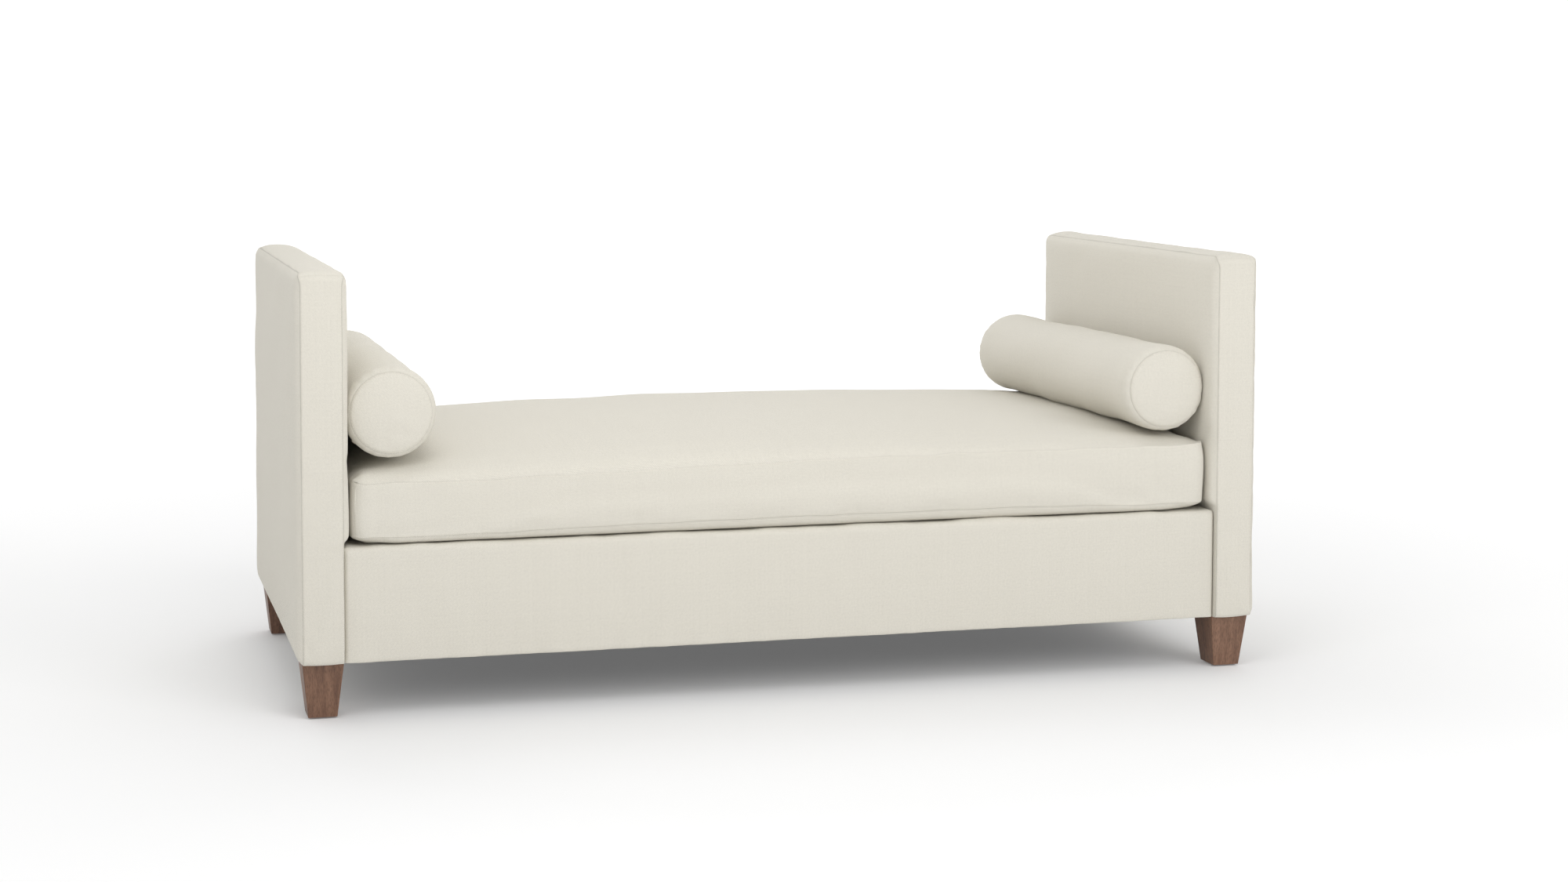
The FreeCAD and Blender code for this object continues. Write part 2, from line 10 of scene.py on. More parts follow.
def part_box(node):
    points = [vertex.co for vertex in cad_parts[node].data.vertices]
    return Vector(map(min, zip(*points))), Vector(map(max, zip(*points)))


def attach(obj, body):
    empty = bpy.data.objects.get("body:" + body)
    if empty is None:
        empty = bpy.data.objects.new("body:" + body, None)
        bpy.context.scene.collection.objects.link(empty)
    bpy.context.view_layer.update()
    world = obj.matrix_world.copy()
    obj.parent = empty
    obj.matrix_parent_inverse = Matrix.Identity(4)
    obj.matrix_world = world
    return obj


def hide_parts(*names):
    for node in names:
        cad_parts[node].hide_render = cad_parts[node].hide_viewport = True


MM = 0.001
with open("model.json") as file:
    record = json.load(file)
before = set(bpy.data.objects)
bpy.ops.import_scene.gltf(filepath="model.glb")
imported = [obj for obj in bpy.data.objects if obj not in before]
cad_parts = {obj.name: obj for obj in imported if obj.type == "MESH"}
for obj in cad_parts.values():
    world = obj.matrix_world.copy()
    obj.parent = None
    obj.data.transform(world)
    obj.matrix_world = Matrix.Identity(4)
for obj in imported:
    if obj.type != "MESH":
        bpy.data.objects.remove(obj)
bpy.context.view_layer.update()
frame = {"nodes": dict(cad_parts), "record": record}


# ---- Noise and small number tools
class Waves:
    """Smooth seeded noise over two distances in metres: a sum of sines near one wavelength."""

    def __init__(self, seed, wavelength, count=24):
        rng = np.random.default_rng(seed)
        angle = rng.uniform(0, 2 * math.pi, count)
        pitch = 2 * math.pi / (wavelength * rng.uniform(0.7, 1.6, count))
        self.ku, self.kv = pitch * np.cos(angle), pitch * np.sin(angle)
        self.phase = rng.uniform(0, 2 * math.pi, count)
        self.scale = math.sqrt(2 / count)

    def __call__(self, u, v):
        u, v = np.broadcast_arrays(np.asarray(u, float), np.asarray(v, float))
        total = np.zeros(u.shape)
        for ku, kv, phase in zip(self.ku, self.kv, self.phase):
            total += np.sin(ku * u + kv * v + phase)
        return total * self.scale


def smooth(x, low, high):
    t = np.clip((np.asarray(x, float) - low) / (high - low), 0, 1)
    return t * t * (3 - 2 * t)


def bump_at(x, centre, width):
    return np.exp(-(((np.asarray(x, float) - centre) / width) ** 2))


def soft_min(a, b, k):
    h = np.clip(0.5 + (b - a) / (2 * k), 0, 1)
    return b + (a - b) * h - k * h * (1 - h)


def spaced(length, near, step):
    """Distances from 0 to length: those in near at both ends, and about a step apart between."""
    near = [d for d in near if d < length / 2 - step / 3]
    middle = np.linspace(near[-1], length - near[-1], max(2, round((length - 2 * near[-1]) / step) + 1))
    return np.concatenate([near[:-1], middle, length - np.array(near[:-1][::-1])])


def spline_rows(points, at, closed=False):
    """Rows of a grid read at fractional row numbers, by Catmull-Rom."""
    n = len(points)
    base = np.floor(at).astype(int)
    if not closed:
        base = np.clip(base, 0, n - 2)
    t = (at - base)[(...,) + (None,) * (points.ndim - 1)]

    def row(k):
        if closed:
            return points[k % n]
        inside = points[np.clip(k, 0, n - 1)]
        before = (2 * points[0] - points[1])[None]
        after = (2 * points[-1] - points[-2])[None]
        shape = (-1,) + (1,) * (points.ndim - 1)
        inside = np.where((k < 0).reshape(shape), before, inside)
        return np.where((k > n - 1).reshape(shape), after, inside)

    a, b, c, d = row(base - 1), row(base), row(base + 1), row(base + 2)
    return 0.5 * (2 * b + (c - a) * t + (2 * a - 5 * b + 4 * c - d) * t**2 + (3 * b - a - 3 * c + d) * t**3)


def resample(grid, u_old, v_old, u_new, v_new, closed=False):
    """A grid of points known at u_old by v_old, read at u_new by v_new."""
    numbers = np.arange(len(u_old) + (1 if closed else 0))
    known = np.append(u_old, u_old[-1] + (u_old[-1] - u_old[-2])) if closed else u_old
    out = spline_rows(grid, np.interp(u_new, known, numbers), closed)
    out = spline_rows(np.swapaxes(out, 0, 1), np.interp(v_new, v_old, np.arange(len(v_old))))
    return np.swapaxes(out, 0, 1)


# ---- Sewn panels
class Panel:
    """A rectangular grid of points on cloth. u and v are distances along the cloth, in metres."""

    def __init__(self, points, u, v, closed=False, flip=False):
        self.points, self.u, self.v = points, np.asarray(u, float), np.asarray(v, float)
        self.closed, self.flip = closed, flip
        self.uv = None  # places on the cloth, where they aren't the grid of u and v
        self.lift = np.zeros(points.shape[:2])
        # painted shade beside seams, which darkens the cloth's colour
        self.seam_shade = np.zeros(points.shape[:2])

    def finer(self, u, v):
        points = resample(self.points, self.u, self.v, u, v, self.closed)
        return Panel(points, u, v, self.closed, self.flip)


def weld(panels):
    """One list of points for all panels, and each panel's grid of numbers in it."""
    flat = np.concatenate([p.points.reshape(-1, 3) for p in panels])
    _, first, back = np.unique(np.round(flat, 6), axis=0, return_index=True, return_inverse=True)
    back = back.reshape(-1)
    numbers, start = [], 0
    for p in panels:
        count = p.points.shape[0] * p.points.shape[1]
        numbers.append(back[start : start + count].reshape(p.points.shape[:2]))
        start += count
    return flat[first], numbers


def quads(numbers, panel):
    """The faces of one panel, with each corner's place on the cloth."""
    u, v = np.meshgrid(panel.u, panel.v, indexing="ij") if panel.uv is None else panel.uv
    if panel.closed:
        numbers = np.vstack([numbers, numbers[:1]])
        u = np.vstack([u, u[:1] if panel.uv else u[-1:] + (u[-1:] - u[-2:-1])])
        v = np.vstack([v, v[:1]])
    corners = [(0, 0), (1, 0), (1, 1), (0, 1)]
    if panel.flip:
        corners = corners[::-1]
    nu, nv = numbers.shape[0] - 1, numbers.shape[1] - 1

    def at_corners(grid):
        return np.stack([grid[a : a + nu, b : b + nv] for a, b in corners], -1).reshape(-1, 4)

    faces = at_corners(numbers)
    uv = np.stack([at_corners(u), at_corners(v)], -1)
    distinct = np.array([len(set(f)) for f in faces.tolist()])
    keep = distinct == 4
    out = list(zip(faces[keep].tolist(), uv[keep].tolist()))
    for f, c in zip(faces[distinct == 3].tolist(), uv[distinct == 3].tolist()):
        seen = [k for k in range(4) if f[k] not in f[:k]]
        out.append(([f[k] for k in seen], [c[k] for k in seen]))
    return out


def normals_of(points, faces):
    """Vertex normals, weighted by face area."""
    total = np.zeros_like(points)
    four = np.array([f if len(f) == 4 else f + f[-1:] for f in faces if len(f) < 5])
    cross = np.cross(points[four[:, 2]] - points[four[:, 0]], points[four[:, 3]] - points[four[:, 1]])
    for k in range(4):
        np.add.at(total, four[:, k], cross)
    return total / np.maximum(np.linalg.norm(total, axis=1, keepdims=True), 1e-12)


def make_mesh(name, points, faces, uvs=None):
    mesh = bpy.data.meshes.new(name)
    mesh.from_pydata(points.tolist(), [], faces)
    if uvs is not None:
        layer = mesh.uv_layers.new(name="cloth")
        layer.data.foreach_set("uv", np.concatenate([np.ravel(c) for c in uvs]).astype(np.float32))
    mesh.shade_smooth()
    mesh.update()
    obj = bpy.data.objects.new(name, mesh)
    bpy.context.scene.collection.objects.link(obj)
    return obj


def sewn(name, panels, capped=None):
    """Welds panels, lifts each point along its normal by the panel's lift, and makes the mesh.

    capped is the number of a panel whose last row of points one face closes.
    """
    points, numbers = weld(panels)
    faces, uvs = [], []
    for ids, panel in zip(numbers, panels):
        for f, c in quads(ids, panel):
            faces.append(f)
            uvs.append(c)
    normals = normals_of(points, faces)
    lift, seam_shade = np.zeros(len(points)), np.zeros(len(points))
    for ids, panel in zip(numbers, panels):
        lift[ids] = panel.lift
        np.maximum.at(seam_shade, ids, panel.seam_shade)
    points = points + normals * lift[:, None]
    for ids, panel in zip(numbers, panels):
        panel.points, panel.normals = points[ids], normals[ids]
    if capped is not None:
        ring = numbers[capped][:, -1].tolist()[::-1]
        faces.append(ring)
        uvs.append(points[ring][:, :2].tolist())
    obj = make_mesh(name, points, faces, uvs)
    # The seam shade goes into the mesh as an attribute that darkens the cloth's colour: painted shade in
    # the seam valleys.
    mark = obj.data.attributes.new("seam_shade", "FLOAT", "POINT")
    mark.data.foreach_set("value", seam_shade.astype(np.float32))
    return obj


CLOTH_SETTINGS = {
    "quality": 5,
    "mass": 0.3,
    "tension_stiffness": 25,
    "compression_stiffness": 25,
    "shear_stiffness": 12,
    "tension_damping": 12,
    "compression_damping": 12,
    "shear_damping": 8,
    "air_damping": 3,
    "use_pressure": True,
    "pin_stiffness": 1.0,
}


def relax(panels, pressure, pin, shrink, steps, cap, bending=2.0, gather=0.02):
    """Runs Blender's cloth on coarse panels and reads the result back into them.

    pin and shrink are one grid per panel: how firmly a point holds its place, and how far its seam gathers.
    No point moves further than cap.
    """
    points, numbers = weld(panels)
    faces = [f for ids, panel in zip(numbers, panels) for f, _ in quads(ids, panel)]
    obj = make_mesh("cloth_work", points, faces)
    firm, drawn = np.zeros(len(points)), np.zeros(len(points))
    for ids, p, s in zip(numbers, pin, shrink):
        np.maximum.at(firm, ids, p)
        np.maximum.at(drawn, ids, s)
    for label, weights in (("firm", firm), ("gather", drawn)):
        group = obj.vertex_groups.new(name=label)
        for k, w in enumerate(weights.tolist()):
            group.add([k], w, "REPLACE")
    cloth = obj.modifiers.new("cloth", "CLOTH")
    s = cloth.settings
    for key, value in CLOTH_SETTINGS.items():
        setattr(s, key, value)
    s.bending_stiffness = bending
    s.uniform_pressure_force = pressure
    s.vertex_group_mass, s.vertex_group_shrink = "firm", "gather"
    s.shrink_min, s.shrink_max = 0.0, gather
    s.effector_weights.gravity = 0
    cloth.collision_settings.use_collision = False
    cloth.collision_settings.use_self_collision = False
    cloth.point_cache.frame_start, cloth.point_cache.frame_end = 1, steps
    scene = bpy.context.scene
    for number in range(1, steps + 1):
        scene.frame_set(number)
    held = obj.evaluated_get(bpy.context.evaluated_depsgraph_get())
    moved = np.empty(len(points) * 3, np.float32)
    held.data.vertices.foreach_get("co", moved)
    move = moved.reshape(-1, 3).astype(float) - points
    size = np.linalg.norm(move, axis=1, keepdims=True)
    move *= np.where(size > 1e-9, cap * np.tanh(size / cap) / np.maximum(size, 1e-9), 1)
    result = points + move
    for ids, panel in zip(numbers, panels):
        panel.points = result[ids]
    bpy.data.objects.remove(obj)
    scene.frame_set(1)


# ---- Seams and stitches
SEAM_NEAR = [d * MM for d in (0, 0.6, 1.2, 1.9, 2.6, 3.3, 4.2, 5.5, 8, 11, 15, 20, 27)]
PLAIN_NEAR = [d * MM for d in (0, 0.8, 1.7, 3.0, 5.0, 8, 12, 17, 23, 30)]
STITCH_AT = 2.6 * MM
SIM_STEP, FINE_STEP = 12 * MM, 7 * MM  # between points on the coarse and the final cloth
THREAD_SIDES = 5


def seam_lift(distance, along, seed, stitched, depth=1.1):
    """How far cloth stands off beside a seam: a valley, the folded edge, the stitches and puckers."""
    d = distance / MM
    wave = Waves(seed, 0.016)(along, distance * 0.35)
    slow = Waves(seed + 1, 0.07)(along, distance * 0.2)
    lift = -bump_at(d, 0, 1.1)
    if stitched:
        lift += 0.55 * bump_at(d, 1.5, 0.7) - 0.3 * bump_at(d, 2.6, 0.5) + 0.45 * bump_at(d, 4.2, 1.6)
    pucker = 0.16 * wave * smooth(d, 0.5, 4) * (1 - smooth(d, 6, 22))
    return depth * (lift + pucker + 0.15 * slow * (1 - smooth(d, 10, 40))) * MM


def seam_shade_at(distance, stitched):
    """How much painted shade darkens cloth beside a seam: the shade in the valley and in the row of
    stitches.
    """
    d = distance / MM
    return bump_at(d, 0, 1.0) + (0.4 * bump_at(d, 2.6, 0.7) if stitched else 0)


def stitch_row(points, normals, closed, pitch=4.4 * MM, length=3.5 * MM, width=0.42 * MM, across=False):
    """Short threads along a line on the cloth, or zip teeth across it: (points, count, faces of one)."""
    if closed:
        points, normals = np.vstack([points, points[:1]]), np.vstack([normals, normals[:1]])
    run = np.concatenate([[0], np.cumsum(np.linalg.norm(np.diff(points, axis=0), axis=1))])
    count = max(1, int(run[-1] / pitch))
    middle = (np.arange(count) + 0.5) * run[-1] / count
    offsets = np.array([-0.5, -0.28, 0.28, 0.5]) * length
    raised = np.array([-0.25, 0.25, 0.25, -0.25]) * width + width * 0.15 - 0.1 * MM
    girth = np.array([0.45, 1.0, 1.0, 0.45]) * width

    def read(table, at):
        return np.stack([np.interp(at, run, table[:, k]) for k in range(3)], -1)

    rings = []
    for offset, up, radius in zip(offsets, raised, girth):
        at = middle + (0 if across else offset)
        centre, n = read(points, at), read(normals, at)
        tangent = read(points, at + 0.5 * MM) - read(points, at - 0.5 * MM)
        side = np.cross(tangent, n)
        side /= np.maximum(np.linalg.norm(side, axis=1, keepdims=True), 1e-12)
        if across:
            centre, side = centre + side * offset, tangent / np.linalg.norm(tangent, axis=1, keepdims=True)
        centre = centre + n * up
        for k in range(THREAD_SIDES):
            turn = 2 * math.pi * k / THREAD_SIDES
            rings.append(centre + radius * (math.cos(turn) * side + math.sin(turn) * n))
    out = np.stack(rings, 1)
    faces = []
    for start in range(0, len(rings) - THREAD_SIDES, THREAD_SIDES):
        for k in range(THREAD_SIDES):
            j = (k + 1) % THREAD_SIDES
            faces.append([start + k, start + j, start + THREAD_SIDES + j, start + THREAD_SIDES + k])
    last = list(range(len(rings) - THREAD_SIDES, len(rings)))
    faces += [list(range(THREAD_SIDES))[::-1], last]
    return out.reshape(-1, 3), count, faces


def stitching(name, rows):
    """One piece holding several rows of stitches; a row is (points, normals, closed)."""
    points, faces, start = [], [], 0
    for row in rows:
        p, count, pattern = stitch_row(*row)
        pattern_four = np.array([f for f in pattern if len(f) == 4])
        starts = start + np.arange(count) * (len(p) // count)
        faces += (starts[:, None, None] + pattern_four).reshape(-1, 4).tolist()
        for end in (f for f in pattern if len(f) == THREAD_SIDES):
            faces += (starts[:, None] + np.array(end)).tolist()
        points.append(p)
        start += len(p)
    return make_mesh(name, np.concatenate(points), faces)


# ---- Materials
def material(name):
    m = bpy.data.materials.new(name)
    m.use_nodes = True
    nodes = m.node_tree.nodes
    return m, nodes, m.node_tree.links, nodes["Principled BSDF"]


class Maths:
    """Writes short node sums."""

    def __init__(self, nodes, links):
        self.nodes, self.links = nodes, links

    def __call__(self, kind, a, b=None, c=None):
        node = self.nodes.new("ShaderNodeMath")
        node.operation = kind
        for socket, value in zip(node.inputs, (a, b, c)):
            if value is None:
                continue
            if isinstance(value, (int, float)):
                socket.default_value = value
            else:
                self.links.new(value, socket)
        return node.outputs[0]


def put(node, **values):
    """Sets a node's own sockets; an underscore stands for a space in a socket's name."""
    for key, value in values.items():
        node.inputs[key.replace("_", " ")].default_value = value


def noise(nodes, links, vector, scale, detail):
    node = nodes.new("ShaderNodeTexNoise")
    put(node, Scale=scale, Detail=detail)
    links.new(vector, node.inputs["Vector"])
    return node


def stretched(nodes, links, scale):
    """The object's own coordinates, scaled along each axis."""
    place, mapping = nodes.new("ShaderNodeTexCoord"), nodes.new("ShaderNodeMapping")
    put(mapping, Scale=scale)
    links.new(place.outputs["Object"], mapping.inputs["Vector"])
    return mapping.outputs[0]


def relief(nodes, links, shader, height, strength, distance):
    node = nodes.new("ShaderNodeBump")
    put(node, Strength=strength, Distance=distance)
    links.new(height, node.inputs["Height"])
    links.new(node.outputs[0], shader.inputs["Normal"])


def ramp(nodes, links, factor, stops):
    node = nodes.new("ShaderNodeValToRGB")
    while len(node.color_ramp.elements) < len(stops):
        node.color_ramp.elements.new(0.5)
    for element, (place, colour) in zip(node.color_ramp.elements, stops):
        element.position = place
        element.color = (*colour, 1)
    links.new(factor, node.inputs[0])
    return node.outputs[0]


def woven(name, light, dark, pitch=1.35 * MM):
    """A two-by-two twill woven along the cloth's own directions."""
    m, nodes, links, shader = material(name)
    sums = Maths(nodes, links)
    place = nodes.new("ShaderNodeUVMap")
    place.uv_map = "cloth"
    split = nodes.new("ShaderNodeSeparateXYZ")
    links.new(place.outputs[0], split.inputs[0])
    wobble = noise(nodes, links, place.outputs[0], 60, 2)
    drift = sums("MULTIPLY", sums("SUBTRACT", wobble.outputs[0], 0.5), 0.5)
    u = sums("ADD", sums("DIVIDE", split.outputs[0], pitch), drift)
    v = sums("SUBTRACT", sums("DIVIDE", split.outputs[1], pitch), drift)
    iu, iv = sums("FLOOR", u), sums("FLOOR", v)
    fu, fv = sums("FRACT", u), sums("FRACT", v)

    def round_thread(f):
        centred = sums("SUBTRACT", sums("MULTIPLY", f, 2), 1)
        return sums("SUBTRACT", 1, sums("MULTIPLY", centred, centred))

    def arched(across, along, from_start):
        """How high a thread stands in its float over two others, which is 0 to 2 along."""
        place_in = sums("SUBTRACT", sums("FLOORED_MODULO", sums("ADD", across, along), 4), from_start)
        arch = sums("SINE", sums("MULTIPLY", place_in, math.pi / 2))
        return sums("ADD", sums("MULTIPLY", arch, 0.65), 0.35)

    warp_up = sums("LESS_THAN", sums("FLOORED_MODULO", sums("ADD", iu, iv), 4), 1.5)
    weft_up = sums("SUBTRACT", 1, warp_up)
    warp = sums("MULTIPLY", round_thread(fu), arched(iu, v, 0))
    weft = sums("MULTIPLY", round_thread(fv), arched(iv, u, 2))
    height = sums("ADD", sums("MULTIPLY", warp_up, warp), sums("MULTIPLY", weft_up, weft))

    strand = nodes.new("ShaderNodeTexWhiteNoise")
    strand.noise_dimensions = "2D"
    cell = nodes.new("ShaderNodeCombineXYZ")
    links.new(sums("MULTIPLY", warp_up, iu), cell.inputs[0])
    links.new(sums("MULTIPLY", weft_up, iv), cell.inputs[1])
    links.new(cell.outputs[0], strand.inputs["Vector"])
    patch = noise(nodes, links, place.outputs[0], 240, 3)
    # Painted shade: the colour darkens where the threads sit low, in the gaps between them and at the ends
    # of their floats.
    tone = sums("ADD", sums("MULTIPLY", height, 0.75), sums("MULTIPLY", strand.outputs[0], 0.05))
    tone = sums("ADD", tone, sums("MULTIPLY", patch.outputs[0], 0.25))
    # Painted shade along seams: the mesh's seam shade darkens the colour, down to the shadow colour at the
    # foot of the ramp.
    seam_shade = nodes.new("ShaderNodeAttribute")
    seam_shade.attribute_name = "seam_shade"
    tone = sums("SUBTRACT", tone, sums("MULTIPLY", seam_shade.outputs["Fac"], 0.34))
    shadow = tuple(c * 0.62 for c in dark)
    colour = ramp(nodes, links, tone, [(0.0, shadow), (0.22, dark), (0.8, light)])
    links.new(colour, shader.inputs["Base Color"])
    relief(nodes, links, shader, height, 0.9, 0.35 * MM)
    put(shader, Roughness=0.92, Specular_IOR_Level=0.2, Sheen_Weight=0.08, Sheen_Roughness=0.45)
    return m


def walnut(name):
    """Straight upright grain with pores, streaks and a satin finish."""
    m, nodes, links, shader = material(name)
    sums = Maths(nodes, links)
    grain = stretched(nodes, links, (1, 1, 0.06))
    bend = noise(nodes, links, grain, 9, 3)
    streak = noise(nodes, links, grain, 90, 8)
    put(streak, Roughness=0.62, Distortion=0.6)
    pores = noise(nodes, links, stretched(nodes, links, (1, 1, 0.035)), 900, 2)
    ring = sums("ADD", sums("MULTIPLY", streak.outputs[0], 0.75), sums("MULTIPLY", bend.outputs[0], 0.45))
    stops = [
        (0.36, (0.055, 0.022, 0.012)),
        (0.5, (0.125, 0.057, 0.031)),
        (0.62, (0.185, 0.092, 0.052)),
        (0.78, (0.245, 0.13, 0.078)),
    ]
    body = ramp(nodes, links, ring, stops)
    pit = ramp(nodes, links, pores.outputs[0], [(0.36, (0.45, 0.42, 0.40)), (0.5, (1, 1, 1))])
    mix = nodes.new("ShaderNodeMix")
    mix.data_type = "RGBA"
    mix.blend_type = "MULTIPLY"
    mix.inputs["Factor"].default_value = 0.75
    links.new(body, mix.inputs["A"])
    links.new(pit, mix.inputs["B"])
    links.new(mix.outputs["Result"], shader.inputs["Base Color"])
    relief(nodes, links, shader, pores.outputs[0], 0.25, 0.25 * MM)
    rough = sums("ADD", sums("MULTIPLY", streak.outputs[0], 0.25), 0.36)
    links.new(rough, shader.inputs["Roughness"])
    put(shader, Coat_Weight=0.12, Coat_Roughness=0.35)
    return m


def grained(name, light, dark, scale, roughness, metallic=0.0, bump=0.2, stretch=(1, 1, 1)):
    """A plain material with noise in its colour and surface, for parts that seldom show."""
    m, nodes, links, shader = material(name)
    fleck = noise(nodes, links, stretched(nodes, links, stretch), scale, 5.0).outputs[0]
    links.new(ramp(nodes, links, fleck, [(0.32, dark), (0.68, light)]), shader.inputs["Base Color"])
    relief(nodes, links, shader, fleck, bump, 0.3 * MM)
    put(shader, Roughness=roughness, Metallic=metallic)
    return m


CREAM = woven("cream_twill", (0.84, 0.806, 0.718), (0.545, 0.52, 0.456))
THREAD = grained("cream_thread", (0.80, 0.77, 0.69), (0.68, 0.64, 0.56), 400, 0.8)
WALNUT = walnut("walnut")


def finish_piece(obj, body, mat, replaces=()):
    obj.data.materials.append(mat)
    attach(obj, body)
    if replaces:
        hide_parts(*replaces)
    return obj


# ---- A box of two faces and a border strip, sewn together
def corner_map(p, q, half_w, half_h, radius):
    """Moves a rectangle's grid points in its corners so that its outline is rounded."""
    r = radius
    over_p, over_q = np.abs(p) - (half_w - r), np.abs(q) - (half_h - r)
    inside = (over_p > 0) & (over_q > 0)
    a, b = np.clip(over_p / r, 0, 1), np.clip(over_q / r, 0, 1)
    new_p = np.sign(p) * (half_w - r + r * a * np.sqrt(1 - b * b / 2))
    new_q = np.sign(q) * (half_h - r + r * b * np.sqrt(1 - a * a / 2))
    return np.where(inside, new_p, p), np.where(inside, new_q, q)


def border_of(grid):
    """The outline of a face grid as one open list of rows, once round."""
    return np.concatenate([grid[:-1, 0], grid[-1, :-1], grid[:0:-1, -1], grid[0, :0:-1]])


def border_lengths(u, v):
    """Distances round a face grid's outline, matching border_of."""
    w, h = u[-1] - u[0], v[-1] - v[0]
    a, b = u - u[0], v - v[0]
    return np.concatenate([a[:-1], w + b[:-1], w + h + (w - a[:0:-1]), 2 * w + h + (h - b[:0:-1])])


def put_border(lift, values):
    """Writes values round a face grid's outline, in border_of's order."""
    nu, nv = lift.shape
    lift[:-1, 0] = values[: nu - 1]
    lift[-1, :-1] = values[nu - 1 : nu + nv - 2]
    lift[:0:-1, -1] = values[nu + nv - 2 : 2 * nu + nv - 3]
    lift[0, :0:-1] = values[2 * nu + nv - 3 :]


def outward_of(outline):
    """Unit normals of an outline in its own plane."""
    tangent = np.roll(outline, -1, 0) - np.roll(outline, 1, 0)
    out = np.stack([tangent[:, 1], -tangent[:, 0]], -1)
    return out / np.linalg.norm(out, axis=1, keepdims=True)


def grids_like(panels, value):
    return [np.full(p.points.shape[:2], float(value)) for p in panels]


def edge_grid(u, v, half_u, half_v):
    """A face grid's two coordinates, the distance in from its nearest edge, and the place along it."""
    uu, vv = np.meshgrid(u, v, indexing="ij")
    in_u, in_v = half_u - np.abs(uu), half_v - np.abs(vv)
    along = np.where(in_u < in_v, vv + 5 * np.sign(uu), uu + 9 * np.sign(vv))
    return uu, vv, np.minimum(in_u, in_v), along


def stitched_rows(panel, width):
    """The rows of a border strip that carry its two lines of stitches, as stitching takes them."""
    at = [int(np.argmin(abs(panel.v - d))) for d in (STITCH_AT, width - STITCH_AT)]
    return [(panel.points[:, k], panel.normals[:, k], True) for k in at]


def keep_above(obj, height):
    for v in obj.data.vertices:
        if v.co.z < height:
            v.co.z = height


def zip_teeth(name, line, away):
    return stitching(name, [(line, np.tile(away, (len(line), 1)), False, 2 * MM, 5 * MM, 0.55 * MM, True)])


